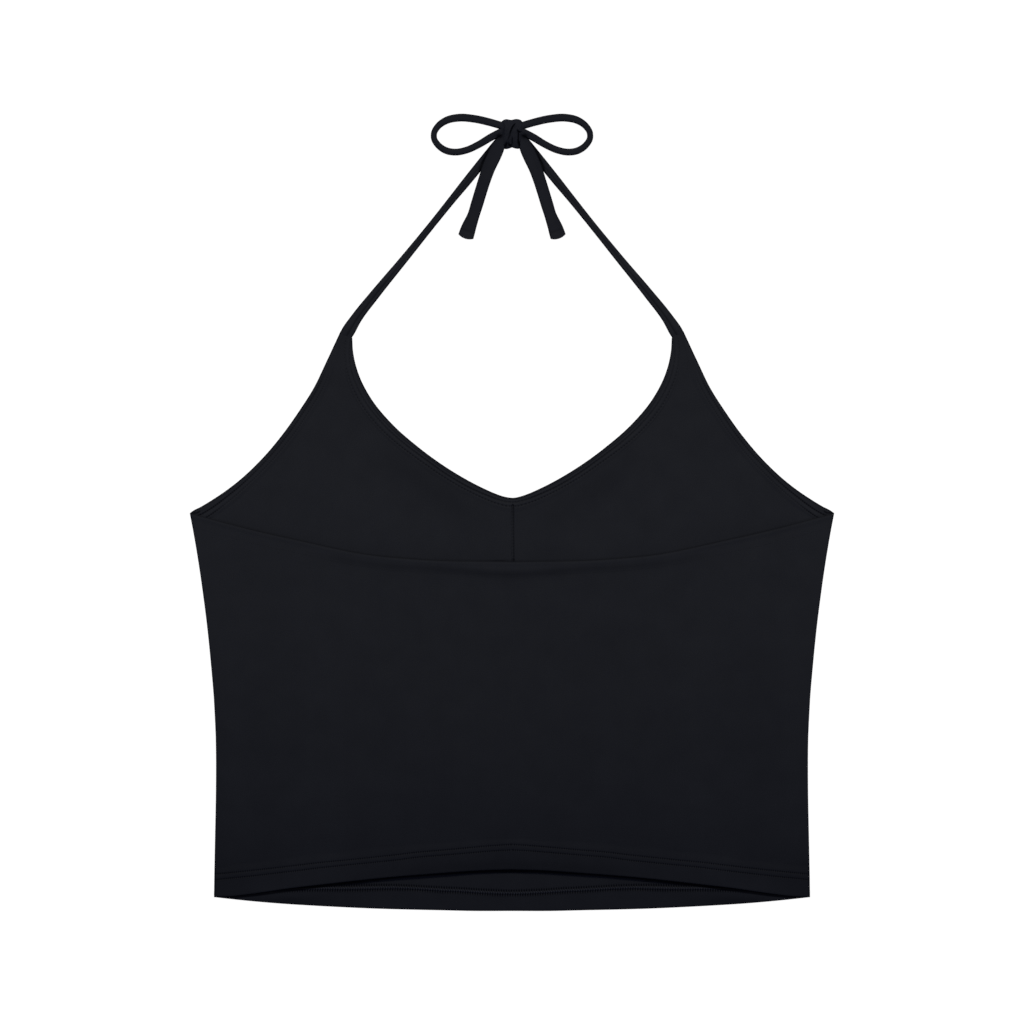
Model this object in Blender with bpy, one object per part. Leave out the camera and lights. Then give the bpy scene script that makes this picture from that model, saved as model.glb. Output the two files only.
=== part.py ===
"""A halter neck crop top in stretch jersey, laid flat on its front with the neck ties in a bow.

X runs to the right, Y from the hem to the bow and Z up from the surface that the top lies on.
The origin is on that surface, in the middle of the whole outline. The front is the lower layer:
two bust halves and a body. The back panel lies on it and reaches up to the underarms only.
Lengths are in millimetres and become metres where the meshes are made.
"""
import bmesh
import bpy
import numpy as np

MM = 0.001

# Driving dimensions
CLOTH = 1.2                  # wall of one layer of cloth
GAP = 0.3                    # between neighbouring pieces, at seams and where they lie on each other
UNDERARM = (210.1, -1.0)     # half width and height of the underarm corner
V_POINT_HEIGHT = 8.5         # lowest point of the neckline, on the centre front seam
STRAP_SEAM_INNER = (104.2, 113.4)
STRAP_SEAM_OUTER = (111.8, 117.7)
UNDERBUST_HEIGHT = -41.0     # underbust seam at the centre front
UNDERBUST_RISE = 36.0        # and how much higher it meets the side seams
TIE_THICK = 2.4              # the folded tie where it is pulled into a narrow strip
TIE_END_THICK = 1.6          # and where it opens out flat
TIE_END_CUT = (-8.8, -3.0)   # slanted end of the right tie, from its outer to its inner corner
KNOT_SIDE = (-0.1, -1.0)     # side of the knot, where the right tie end comes out of it
BASE_Z = 0.0
BACK_Z = CLOTH + GAP

# Side seam: height, half width of the garment there
SIDE_SEAM = [
    (-1.0, 210.1),
    (-41.4, 203.2),
    (-80.5, 198.1),
    (-119.6, 194.5),
    (-158.8, 193.0),
    (-197.9, 193.3),
    (-259.5, 194.4),
]

# Armhole edge: half width, height
ARMHOLE = [
    UNDERARM,
    (196.8, 6.8),
    (180.0, 18.6),
    (163.3, 34.2),
    (150.0, 49.9),
    (138.9, 65.5),
    (129.0, 81.2),
    (121.5, 96.8),
    STRAP_SEAM_OUTER,
]

# Neckline edge: half width, height
NECKLINE = [
    (GAP / 2, V_POINT_HEIGHT),
    (17.7, 14.7),
    (39.1, 26.4),
    (61.2, 42.1),
    (78.8, 57.7),
    (91.7, 73.4),
    (99.8, 89.0),
    (103.7, 104.6),
    STRAP_SEAM_INNER,
]

# Edges that cross the garment: share of the half width from the centre, height
BACK_TOP_EDGE = [(0.0, -32.6), (0.29, -31.1), (0.46, -27.8), (0.67, -18.7), (0.79, -13.0), (1.0, -1.0)]
BACK_HEM = [(0.0, -234.4), (0.22, -236.0), (0.45, -239.9), (0.69, -245.4), (0.89, -250.1), (1.0, -251.4)]
FRONT_HEM = [(0.0, -259.5), (0.22, -259.5), (0.45, -258.0), (0.79, -254.9), (1.0, -251.4)]

# Ties on the right side: x, y, z of the underside, width, thickness
NECK_STRAP = [
    (107.8, 115.9, 0.0, 8.6, 1.5),
    (101.4, 126.2, 0.0, 6.9, 2.0),
    (89.2, 141.8, 0.0, 6.1, TIE_THICK),
    (69.8, 165.3, 0.0, 4.9, TIE_THICK),
    (50.8, 188.8, 0.0, 4.2, TIE_THICK),
    (38.3, 204.4, 0.0, 4.6, TIE_THICK),
    (28.8, 216.1, 0.0, 5.4, TIE_THICK),
    (16.3, 230.0, 0.0, 5.4, TIE_THICK),
    (7.0, 239.7, 0.0, 4.6, TIE_THICK),
]
BOW_LOOP = [
    (7.3, 252.0, 2.4, 4.2, TIE_THICK),
    (14.0, 253.8, 1.6, 4.6, TIE_THICK),
    (24.5, 256.1, 0.6, 4.7, TIE_THICK),
    (34.9, 256.8, 0.0, 4.7, TIE_THICK),
    (42.7, 255.1, 0.0, 4.4, TIE_THICK),
    (47.9, 251.6, 0.0, 4.0, TIE_THICK),
    (50.7, 246.9, 0.0, 3.7, TIE_THICK),
    (50.7, 243.2, 0.0, 3.7, TIE_THICK),
    (48.3, 239.2, 0.0, 3.9, TIE_THICK),
    (42.7, 235.3, 0.0, 4.2, TIE_THICK),
    (36.5, 234.4, 0.0, 4.2, TIE_THICK),
    (29.7, 235.7, 0.0, 4.2, TIE_THICK),
    (21.8, 239.1, 0.6, 4.2, TIE_THICK),
    (14.0, 243.6, 1.6, 4.2, TIE_THICK),
    (7.3, 247.2, 2.4, 4.0, TIE_THICK),
]
TIE_END = [
    (6.6, 240.6, 2.7, 6.2, TIE_END_THICK),
    (9.3, 238.2, 2.7, 7.8, TIE_END_THICK),
    (11.7, 232.1, 2.7, 9.4, TIE_END_THICK),
    (15.5, 224.0, 2.7, 9.1, TIE_END_THICK),
    (18.0, 216.1, 2.4, 8.1, TIE_END_THICK),
    (20.4, 208.3, 1.5, 7.9, TIE_END_THICK),
    (22.8, 200.5, 0.6, 7.9, TIE_END_THICK),
    (25.3, 192.7, 0.0, 8.3, TIE_END_THICK),
    (28.2, 185.2, 0.0, 9.6, TIE_END_THICK),
    (30.1, 179.0, 0.0, 9.3, TIE_END_THICK),
]

# Knot: height, half width, top
BOW_KNOT = [
    (255.6, 4.2, 3.4),
    (254.7, 5.6, 4.9),
    (252.4, 6.5, 6.2),
    (248.0, 6.8, 7.0),
    (243.0, 6.4, 7.0),
    (239.0, 5.8, 6.4),
    (236.9, 4.8, 5.0),
]

# Sections across a tie, as shares of its width and thickness, anticlockwise seen along the path
SEAMED_SECTION = [
    (0.36, 0.0), (0.5, 0.45), (0.38, 0.9), (0.15, 1.0), (0.0, 0.78),
    (-0.15, 1.0), (-0.38, 0.9), (-0.5, 0.45), (-0.36, 0.0),
]
PLAIN_SECTION = [
    (0.36, 0.0), (0.5, 0.4), (0.4, 0.88), (0.12, 1.0),
    (-0.12, 1.0), (-0.4, 0.88), (-0.5, 0.4), (-0.36, 0.0),
]
KNOT_SECTION = [
    (0.7, 0.0), (0.96, 0.2), (1.0, 0.5), (0.82, 0.86), (0.4, 1.0),
    (-0.4, 1.0), (-0.82, 0.86), (-1.0, 0.5), (-0.96, 0.2), (-0.7, 0.0),
]

# How finely the shapes are cut
COLUMNS_BUST = 8
ROWS_SIDE = 4
ROWS_ARMHOLE = 20
COLUMNS_BODY = 16
ROWS_BODY = 12
STRAP_STEPS = 20
LOOP_STEPS = 44
END_STEPS = 22

BLACK_JERSEY = (0.011, 0.012, 0.015, 1.0)
JERSEY_ROUGHNESS = 0.62


def clear_scene():
    """Removes every object, so that only the garment is left."""
    for thing in list(bpy.data.objects):
        bpy.data.objects.remove(thing, do_unlink=True)


def cubic(places, values, wanted):
    """A smooth cubic through the values at the given places, read at the wanted places."""
    places = np.asarray(places, float)
    values = np.asarray(values, float)
    wanted = np.asarray(wanted, float)
    slopes = np.gradient(values, places, axis=0)
    span = np.clip(np.searchsorted(places, wanted, side="right") - 1, 0, len(places) - 2)
    step = places[span + 1] - places[span]
    t = (wanted - places[span]) / step
    if values.ndim > 1:
        t = t[:, None]
        step = step[:, None]
    start = (1 + 2 * t) * (1 - t) ** 2 * values[span] + t * (1 - t) ** 2 * step * slopes[span]
    end = t * t * (3 - 2 * t) * values[span + 1] + t * t * (t - 1) * step * slopes[span + 1]
    return start + end


def even_curve(stations, steps):
    """The smooth curve through the stations, cut into steps of even length in plan."""
    stations = np.asarray(stations, float)
    chords = np.linalg.norm(np.diff(stations[:, :2], axis=0), axis=1)
    places = np.concatenate([[0.0], np.cumsum(chords)])
    fine = cubic(places, stations, np.linspace(0.0, places[-1], 60 * len(stations)))
    lengths = np.linalg.norm(np.diff(fine[:, :2], axis=0), axis=1)
    along = np.concatenate([[0.0], np.cumsum(lengths)])
    wanted = np.linspace(0.0, along[-1], steps + 1)
    return np.stack([np.interp(wanted, along, column) for column in fine.T], axis=1)


def side_half_width(height):
    """Half the garment's width at a height below the underarms."""
    table = np.array(SIDE_SEAM)[::-1]
    return cubic(table[:, 0], table[:, 1], height)


def crossing_height(edge, share):
    """Height of an edge that crosses the garment, at a share of the half width, left or right."""
    table = np.array(edge)
    return cubic(table[:, 0], table[:, 1], np.abs(share))


def underbust_height(share):
    """Height of the underbust seam: a shallow bow that rises to the side seams."""
    return UNDERBUST_HEIGHT + UNDERBUST_RISE * share ** 2


def jersey(name):
    """The matt black jersey of one piece."""
    material = bpy.data.materials.new(name + "_jersey")
    material.use_nodes = True
    shader = material.node_tree.nodes["Principled BSDF"]
    shader.inputs["Base Color"].default_value = BLACK_JERSEY
    shader.inputs["Roughness"].default_value = JERSEY_ROUGHNESS
    shader.inputs["Metallic"].default_value = 0.0
    return material


def add_object(name, shape):
    """Turns a finished bmesh into a named object with its own material."""
    mesh = bpy.data.meshes.new(name)
    shape.to_mesh(mesh)
    shape.free()
    piece = bpy.data.objects.new(name, mesh)
    bpy.context.collection.objects.link(piece)
    mesh.materials.append(jersey(name))
    return piece


def cloth_panel(name, grid, bottom):
    """A panel of cloth: a flat net of faces on the plan points of a grid, thickened upwards."""
    shape = bmesh.new()
    rows = [[shape.verts.new((x * MM, y * MM, bottom * MM)) for x, y in row] for row in grid]
    for low, high in zip(rows, rows[1:]):
        for i in range(len(low) - 1):
            shape.faces.new((low[i], low[i + 1], high[i + 1], high[i]))
    bmesh.ops.recalc_face_normals(shape, faces=shape.faces)
    if shape.faces[0].normal.z < 0:
        bmesh.ops.reverse_faces(shape, faces=shape.faces)
    piece = add_object(name, shape)
    wall = piece.modifiers.new("wall", "SOLIDIFY")
    wall.thickness = CLOTH * MM
    wall.offset = 1.0
    return piece


def swept_solid(name, rings):
    """A closed solid through a row of rings of points, with a flat face on each end."""
    shape = bmesh.new()
    loops = [[shape.verts.new(tuple(point * MM)) for point in ring] for ring in rings]
    count = len(loops[0])
    for near, far in zip(loops, loops[1:]):
        for i in range(count):
            j = (i + 1) % count
            shape.faces.new((near[i], near[j], far[j], far[i]))
    shape.faces.new(loops[0][::-1])
    shape.faces.new(loops[-1])
    bmesh.ops.recalc_face_normals(shape, faces=shape.faces)
    piece = add_object(name, shape)
    piece.data.shade_smooth()
    piece.data.set_sharp_from_angle(angle=np.radians(40.0))
    return piece


def tie_strip(name, stations, steps, section, side, first_across=None, last_across=None):
    """A tie laid along its stations: the section, scaled to width and thickness, at each step.

    The width lies flat, square to the path, or along the given directions at the two ends.
    """
    route = even_curve(stations, steps)
    way = np.gradient(route[:, :2], axis=0)
    across = np.stack([way[:, 1], -way[:, 0]], axis=1)
    if first_across is not None:
        across[0] = first_across
    if last_across is not None:
        across[-1] = last_across
    across /= np.linalg.norm(across, axis=1, keepdims=True)
    section = np.array(section)
    plan = route[:, None, :2] + across[:, None, :] * (route[:, 3, None] * section[:, 0])[:, :, None]
    height = route[:, 2, None] + route[:, 4, None] * section[:, 1]
    rings = np.concatenate([plan, height[:, :, None]], axis=2)
    rings[:, :, 0] *= side
    return swept_solid(name, rings)


def front_bust(name, side):
    """One bust half: rows from the centre seam and neckline out to the side seam and armhole."""
    share = np.linspace(0.0, 1.0, COLUMNS_BUST + 1)
    seam_height = underbust_height(share)
    seam = np.stack([GAP / 2 + (side_half_width(seam_height) - GAP / 2) * share, seam_height + GAP / 2], axis=1)
    inner = even_curve(NECKLINE, ROWS_ARMHOLE)
    outer = even_curve(ARMHOLE, ROWS_ARMHOLE)
    upper = inner[:, None, :] * (1 - share[:, None]) + outer[:, None, :] * share[:, None]
    rise = np.linspace(0.0, 1.0, ROWS_SIDE + 1)[:-1, None, None]
    grid = np.concatenate([seam * (1 - rise) + upper[0] * rise, upper])
    grid[:, :, 0] *= side
    return cloth_panel(name, grid, BASE_Z)


def crossing_panel(name, lower, upper, bottom):
    """A panel that runs from side seam to side seam, between two edges that cross the garment."""
    share = np.linspace(-1.0, 1.0, COLUMNS_BODY + 1)
    rise = np.linspace(0.0, 1.0, ROWS_BODY + 1)[:, None]
    height = lower(share) * (1 - rise) + upper(share) * rise
    half_width = side_half_width(height.ravel()).reshape(height.shape)
    return cloth_panel(name, np.stack([half_width * share, height], axis=2), bottom)


def front_body():
    """The lower front, from the front hem to the underbust seam."""
    return crossing_panel(
        "front_body",
        lambda share: crossing_height(FRONT_HEM, share),
        lambda share: underbust_height(share) - GAP / 2,
        BASE_Z,
    )


def back_panel():
    """The back, from its hem to its free top edge, lying on the front."""
    return crossing_panel(
        "back_panel",
        lambda share: crossing_height(BACK_HEM, share),
        lambda share: crossing_height(BACK_TOP_EDGE, share),
        BACK_Z,
    )


def bow_knot():
    """The knot: a rounded lump that stands on the surface, wider at its shoulders."""
    section = np.array(KNOT_SECTION)
    rings = []
    for height, half_width, top in BOW_KNOT:
        x = section[:, 0] * half_width
        rings.append(np.stack([x, np.full(len(x), height), section[:, 1] * top], axis=1))
    return swept_solid("bow_knot", np.array(rings))


def build():
    """Makes every piece, the mirrored ones in pairs."""
    clear_scene()
    seam_line = np.subtract(STRAP_SEAM_OUTER, STRAP_SEAM_INNER)
    front_body()
    back_panel()
    for word, side in (("left", -1.0), ("right", 1.0)):
        front_bust("front_bust_" + word, side)
        tie_strip("neck_strap_" + word, NECK_STRAP, STRAP_STEPS, SEAMED_SECTION, side,
                  first_across=seam_line)
        tie_strip("bow_loop_" + word, BOW_LOOP, LOOP_STEPS, PLAIN_SECTION, side,
                  first_across=(0.0, -1.0), last_across=(0.0, 1.0))
        tie_strip("tie_end_" + word, TIE_END, END_STEPS, PLAIN_SECTION, side,
                  first_across=KNOT_SIDE, last_across=TIE_END_CUT)
    bow_knot()


build()
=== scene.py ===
"""Finish of the halter neck crop top: black stretch jersey laid flat on its front, ties in a bow.

Lengths are in millimetres and become metres where a mesh is made. X runs to the right, Y from
the hem to the bow, Z up from the surface. The front layer lies lowest with its outside down, so
its turned edges show from inside; the back panel lies on it with its outside up.
"""

import bpy
import numpy as np
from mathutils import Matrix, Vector


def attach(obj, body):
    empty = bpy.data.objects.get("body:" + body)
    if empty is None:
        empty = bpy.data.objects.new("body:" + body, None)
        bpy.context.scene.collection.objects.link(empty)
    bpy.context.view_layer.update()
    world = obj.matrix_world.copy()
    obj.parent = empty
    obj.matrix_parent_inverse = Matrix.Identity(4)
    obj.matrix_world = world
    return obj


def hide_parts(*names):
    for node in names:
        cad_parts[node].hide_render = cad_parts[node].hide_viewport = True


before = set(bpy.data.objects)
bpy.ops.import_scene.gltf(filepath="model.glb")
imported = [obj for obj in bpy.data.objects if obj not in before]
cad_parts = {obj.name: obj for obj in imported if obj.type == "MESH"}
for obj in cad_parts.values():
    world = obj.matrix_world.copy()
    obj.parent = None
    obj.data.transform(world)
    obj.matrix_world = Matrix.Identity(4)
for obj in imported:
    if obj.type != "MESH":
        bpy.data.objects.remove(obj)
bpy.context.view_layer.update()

MM = 0.001

# Cloth
JERSEY = 0.6                 # thickness of one ply
FLOOR_GAP = 0.12             # under the front layer
BUST_TOP = FLOOR_GAP + 1.9 * JERSEY    # the bust halves are two plies
FRONT_TOP = FLOOR_GAP + JERSEY         # the lower front is one
SIDE_SEAM_Z = 0.85           # height of the side seam
SIDE_TURN = 1.5              # how far in from the side seam the cloth turns over
ROLL = 0.6                   # how far in from a turned edge its roll reaches

# Light: the even cool light of the room, the table's own glow, and a warmer soft box beyond the bow
# that faces the middle of the garment. Sizes and places are in metres, the spread in degrees
WORLD_LIGHT = 0.185
WORLD_COLOUR = (0.80, 0.88, 1.30)
FLOOR_GLOW = 0.99
FLOOR = 40.0                 # half the floor's side, in metres
KEY_PLACE = (0.0, 0.825, 1.10)
KEY_SIZE = (1.20, 0.25)
KEY_WATTS = 1.18
KEY_SPREAD = 30.0
KEY_COLOUR = (1.08, 1.05, 0.88)
CAMERA_PLACE = (0.0, -0.00033, 1.8564)
CAMERA_LENS = 100.0          # in millimetres, on a sensor 36 wide

# The outline, as in the solids
UNDERARM = (210.1, -1.0)
SIDE_SEAM_ENDS = (-261.0, -1.0)    # heights between which the side seam's width is read
HALF_AT_UNDERARM = 209.0           # half widths that the edges' shares are taken of
HALF_AT_BACK_EDGE = 208.0
HALF_AT_HEM = 194.2
V_POINT_HEIGHT = 8.9
STRAP_SEAM_INNER = (104.2, 113.4)
STRAP_SEAM_OUTER = (111.8, 117.7)
UNDERBUST_HEIGHT = -41.0
UNDERBUST_RISE = 36.0

# Side seam: height, half width
SIDE_SEAM = [
    (-1.0, 210.2), (-16.0, 207.4), (-29.0, 205.2), (-42.1, 203.2), (-55.1, 201.4), (-68.1, 199.7),
    (-81.2, 198.2), (-94.2, 196.9), (-107.3, 195.7), (-120.3, 194.6), (-133.3, 193.9), (-146.4, 193.3),
    (-159.4, 193.1), (-185.5, 193.2), (-211.6, 193.7), (-237.7, 194.2), (-261.5, 194.5),
]

# Armhole edge: half width, height
ARMHOLE = [
    UNDERARM, (207.8, 0.65), (203.1, 3.05), (196.8, 6.8), (180.0, 18.6), (163.3, 34.2), (150.0, 49.9),
    (138.9, 65.5), (129.0, 81.2), (121.5, 96.8), STRAP_SEAM_OUTER,
]

# Neckline edge: half width, height
NECKLINE = [
    (0.0, V_POINT_HEIGHT), (2.6, 9.15), (5.9, 9.95), (10.4, 11.5), (17.7, 14.7), (39.1, 26.4),
    (61.2, 42.1), (78.8, 57.7), (91.7, 73.4), (99.8, 89.0), (103.7, 104.6), STRAP_SEAM_INNER,
]

# Edges that cross the garment: share of the half width, height
BACK_TOP_EDGE = [(0.0, -32.6), (0.29, -31.1), (0.46, -27.8), (0.67, -18.7), (0.79, -13.0), (1.0, -1.0)]
BACK_HEM = [
    (0.0, -233.2), (0.12, -234.0), (0.243, -235.7), (0.444, -238.9), (0.613, -242.6), (0.778, -246.7),
    (0.828, -248.2), (0.878, -249.5), (0.929, -250.7), (1.0, -251.5),
]
FRONT_HEM = [
    (0.0, -260.6), (0.133, -260.6), (0.24, -260.15), (0.348, -259.7), (0.455, -259.1), (0.562, -258.2),
    (0.67, -257.1), (0.777, -255.8), (0.885, -254.0), (1.0, -251.6),
]

# Rows of stitches that cross the hems, the lower and the upper: half width, height
ROWS_END = 194.0             # half width at which they end, by the side seam
BACK_STITCH_ROWS = (
    [(0.0, -220.55), (12.0, -221.2), (28.0, -222.55), (44.0, -223.9), (60.0, -225.2), (75.0, -227.1),
     (91.0, -228.8), (107.0, -230.4), (122.0, -232.0), (138.0, -234.1), (153.5, -236.0), (169.0, -237.8),
     (185.0, -239.4), (194.0, -240.3)],
    [(0.0, -216.9), (12.0, -217.7), (28.0, -219.1), (44.0, -220.6), (60.0, -221.9), (75.0, -223.7),
     (91.0, -225.4), (107.0, -227.1), (122.0, -228.6), (138.0, -230.6), (153.5, -232.5), (169.0, -234.2),
     (185.0, -235.8), (194.0, -236.5)],
)
FRONT_STITCH_ROWS = (
    [(0.0, -250.1), (12.0, -249.8), (23.0, -249.2), (34.0, -248.4), (44.0, -248.1), (54.0, -247.4),
     (73.0, -246.5), (107.0, -247.2), (127.0, -247.0), (160.0, -248.2), (195.0, -249.6)],
    [(0.0, -247.7), (12.0, -247.2), (23.0, -246.7), (34.0, -246.0), (44.0, -245.5), (54.0, -245.0),
     (73.0, -244.0), (93.0, -243.7), (107.0, -244.0), (136.0, -244.9), (195.0, -246.2)],
)

# Ties on the right side: x, y, z of the underside, width, thickness
NECK_STRAP = [
    (108.6, 114.6, 0.25, 8.2, 1.0), (107.6, 116.3, 0.25, 8.5, 1.2), (101.4, 126.2, 0.15, 7.3, 1.5),
    (89.2, 141.8, 0.1, 6.4, 1.8), (69.8, 165.3, 0.1, 5.2, 2.1), (50.8, 188.8, 0.1, 4.6, 2.4),
    (38.3, 204.4, 0.1, 5.0, 2.4), (28.8, 216.1, 0.1, 5.7, 2.3), (17.5, 230.2, 0.1, 5.8, 2.3),
    (9.8, 240.0, 0.2, 5.4, 2.3), (5.6, 245.4, 0.3, 4.8, 2.3),
]
BOW_LOOP = [
    (4.6, 250.6, 2.6, 4.9, 2.2), (14.0, 253.5, 1.8, 5.0, 2.2), (24.5, 256.0, 0.7, 5.1, 2.2),
    (34.9, 256.8, 0.1, 5.1, 2.2), (42.7, 255.1, 0.1, 4.8, 2.2), (47.9, 251.6, 0.1, 4.3, 2.3),
    (50.8, 246.9, 0.1, 4.0, 2.4), (50.8, 243.2, 0.1, 4.0, 2.4), (48.4, 239.2, 0.1, 4.2, 2.3),
    (42.7, 235.3, 0.1, 4.5, 2.2), (36.5, 234.4, 0.1, 4.5, 2.2), (29.7, 235.7, 0.1, 4.5, 2.2),
    (21.8, 239.2, 0.7, 4.6, 2.2), (14.0, 243.7, 1.8, 4.9, 2.2), (4.6, 248.4, 2.6, 5.0, 2.2),
]
TIE_END = [
    (5.4, 242.4, 3.4, 6.6, 1.4), (8.3, 238.7, 3.2, 8.1, 1.4), (9.95, 235.3, 3.0, 8.9, 1.4),
    (11.7, 231.5, 2.8, 9.1, 1.4), (15.15, 223.9, 2.7, 8.7, 1.4), (17.9, 216.05, 2.5, 8.2, 1.4),
    (20.4, 208.3, 1.6, 8.1, 1.4), (22.8, 200.5, 0.7, 8.1, 1.4), (25.3, 192.7, 0.15, 8.0, 1.4),
    (26.8, 188.8, 0.12, 8.8, 1.4), (28.0, 185.8, 0.12, 9.5, 1.3), (28.95, 183.0, 0.12, 10.0, 1.3),
    (30.1, 179.4, 0.12, 10.3, 1.2),
]
TIE_END_CUT = (-9.4, -3.0)
TIE_END_BULGE = 1.5          # how far the middle of the cut end stands out
TIE_END_PRESSED = 0.945      # share of the length at which a pressed line crosses it
KNOT_SIDE = (-0.1, -1.0)


# ---------------------------------------------------------------- curves

def cubic(places, values, wanted):
    """A smooth cubic through the values at the given places, read at the wanted places."""
    places = np.asarray(places, float)
    values = np.asarray(values, float)
    wanted = np.asarray(wanted, float)
    slopes = np.gradient(values, places, axis=0)
    span = np.clip(np.searchsorted(places, wanted, side="right") - 1, 0, len(places) - 2)
    step = places[span + 1] - places[span]
    t = (wanted - places[span]) / step
    if values.ndim > 1:
        t = t[..., None]
        step = step[..., None]
    start = (1 + 2 * t) * (1 - t) ** 2 * values[span] + t * (1 - t) ** 2 * step * slopes[span]
    end = t * t * (3 - 2 * t) * values[span + 1] + t * t * (t - 1) * step * slopes[span + 1]
    return start + end


def length_along(path):
    """Distance from a path's start to each of its points, in plan."""
    return np.concatenate([[0.0], np.cumsum(np.linalg.norm(np.diff(path[:, :2], axis=0), axis=1))])


def read_along(values, along, wanted):
    """Rows of values that belong to lengths along a path, read between them at wanted lengths."""
    return np.stack([np.interp(wanted, along, column) for column in values.T], axis=1)


def cut_evenly(path, steps):
    """A path cut into steps of even length in plan."""
    along = length_along(path)
    return read_along(path, along, np.linspace(0.0, along[-1], steps + 1))


def even_curve(stations, steps):
    """The smooth curve through the stations, cut into steps of even length in plan."""
    stations = np.asarray(stations, float)
    places = length_along(stations)
    return cut_evenly(cubic(places, stations, np.linspace(0.0, places[-1], 60 * len(stations))), steps)


def unit(vectors):
    """Each vector divided by its length."""
    return vectors / np.maximum(np.linalg.norm(vectors, axis=-1, keepdims=True), 1e-9)


def side_half_width(height):
    """Half the garment's width at a height, held to the reach of the side seams."""
    return cubic(*np.array(SIDE_SEAM)[::-1].T, np.clip(height, *SIDE_SEAM_ENDS))


def crossing_height(edge, share):
    """Height of an edge that crosses the garment, at a share of the half width, left or right."""
    return cubic(*np.array(edge).T, np.abs(share))


def edge_height(edge, x, half_width):
    """Height of such an edge at x to the right of the middle, where the garment is so wide."""
    return crossing_height(edge, np.clip(x / half_width, 0.0, 1.0))


def bell(x, middle, width):
    """A smooth hump of height 1 at the middle: exp of minus the squared distance in widths."""
    return np.exp(-((x - middle) / width) ** 2)


def ramp(x, start, end):
    """0 before the start and 1 after the end, with a smooth cubic step between them."""
    t = np.clip((x - start) / (end - start), 0.0, 1.0)
    return t * t * (3 - 2 * t)


def unevenness(x, y, size, seed):
    """A soft random relief between about -1 and 1: twelve plane waves of about the given size,
    with seeded directions and phases."""
    rng = np.random.default_rng(seed)
    angle = rng.uniform(0.0, 2 * np.pi, 12)
    number = 2 * np.pi / size * rng.uniform(0.6, 1.5, 12)
    phase = rng.uniform(0.0, 2 * np.pi, 12)
    total = np.zeros(np.broadcast(x, y).shape)
    for a, k, p in zip(angle, number, phase):
        total += np.sin(k * (np.cos(a) * x + np.sin(a) * y) + p)
    return total / 4.0


# ---------------------------------------------------------------- meshes

def grid_faces(rows, columns, offset=0, wrap=False):
    """Corner numbers of the quads of a grid of points, row by row; wrap closes each row."""
    i = np.arange(rows - 1)[:, None]
    j = np.arange(columns if wrap else columns - 1)[None, :]
    k = (j + 1) % columns
    quads = np.stack(np.broadcast_arrays(
        i * columns + j, i * columns + k, (i + 1) * columns + k, (i + 1) * columns + j), axis=-1)
    return quads.reshape(-1, 4) + offset


def make_mesh(name, points, quads, uv, triangles=None, tone=None, sharp=50.0):
    """A closed smooth-shaded mesh from points in millimetres, with the cloth coordinate and the
    tone of each point. A mesh whose signed volume is below zero has its faces turned round."""
    points = np.asarray(points, float).reshape(-1, 3)
    triangles = np.zeros((0, 3), int) if triangles is None else triangles
    a, b, c, d = (points[quads[:, k]] for k in range(4))
    volume = np.einsum("ij,ij->", a, np.cross(b, c)) + np.einsum("ij,ij->", a, np.cross(c, d))
    if len(triangles):
        volume += np.einsum("ij,ij->", points[triangles[:, 0]],
                            np.cross(points[triangles[:, 1]], points[triangles[:, 2]]))
    if volume < 0:
        quads = quads[:, ::-1]
        triangles = triangles[:, ::-1]
    corners = np.concatenate([quads.ravel(), triangles.ravel()])
    counts = np.concatenate([np.full(len(quads), 4), np.full(len(triangles), 3)])
    mesh = bpy.data.meshes.new(name)
    mesh.vertices.add(len(points))
    mesh.vertices.foreach_set("co", (points * MM).ravel())
    mesh.loops.add(len(corners))
    mesh.loops.foreach_set("vertex_index", corners)
    mesh.polygons.add(len(counts))
    mesh.polygons.foreach_set("loop_start", np.concatenate([[0], np.cumsum(counts)[:-1]]))
    layer = mesh.uv_layers.new(name="cloth")
    layer.data.foreach_set("uv", (np.asarray(uv, float).reshape(-1, 2)[corners] * MM).ravel())
    shade = mesh.attributes.new("tone", "FLOAT", "POINT")
    shade.data.foreach_set("value", np.ones(len(points)) if tone is None else np.asarray(tone).ravel())
    mesh.update(calc_edges=True)
    mesh.validate()
    mesh.shade_smooth()
    mesh.set_sharp_from_angle(angle=np.radians(sharp))
    piece = bpy.data.objects.new(name, mesh)
    bpy.context.collection.objects.link(piece)
    return piece


def cloth_sheet(name, top, low, tone):
    """A closed sheet of cloth from its two skins, which are grids of as many points, and a rim.
    The cloth coordinate is the plan position, so the knit runs on across neighbouring pieces."""
    rows, columns = top.shape[:2]
    count = rows * columns
    number = np.arange(count).reshape(rows, columns)
    rim = np.concatenate([number[0, :], number[1:, -1], number[-1, -2::-1], number[-2:0:-1, 0]])
    following = np.roll(rim, -1)
    sides = np.stack([rim, rim + count, following + count, following], axis=1)
    faces = np.concatenate([grid_faces(rows, columns), grid_faces(rows, columns, count)[:, ::-1], sides])
    points = np.concatenate([top.reshape(-1, 3), low.reshape(-1, 3)])
    return make_mesh(name, points, faces, points[:, :2], tone=np.concatenate([tone.ravel(), tone.ravel()]))


def ring_sweep(name, rings, uv, tone):
    """A closed solid through a row of rings of an even number of points, with its ends closed by
    quads between opposite points of the ring."""
    rows, columns = rings.shape[:2]
    half = columns // 2
    k = np.arange(half - 1)
    cap = np.stack([k, k + 1, columns - 2 - k, columns - 1 - k], axis=1)
    far = cap + (rows - 1) * columns
    faces = np.concatenate([grid_faces(rows, columns, wrap=True), cap[:, ::-1], far])
    return make_mesh(name, rings, faces, uv, tone=tone)


def turned(distance, reach=SIDE_TURN):
    """How much of the way down to a seam the cloth has turned: one less the height of a quarter
    ellipse at this distance from the seam."""
    t = np.clip(distance / reach, 0.0, 1.0)
    return 1.0 - np.sqrt(1.0 - (1.0 - t) ** 2)


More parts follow.
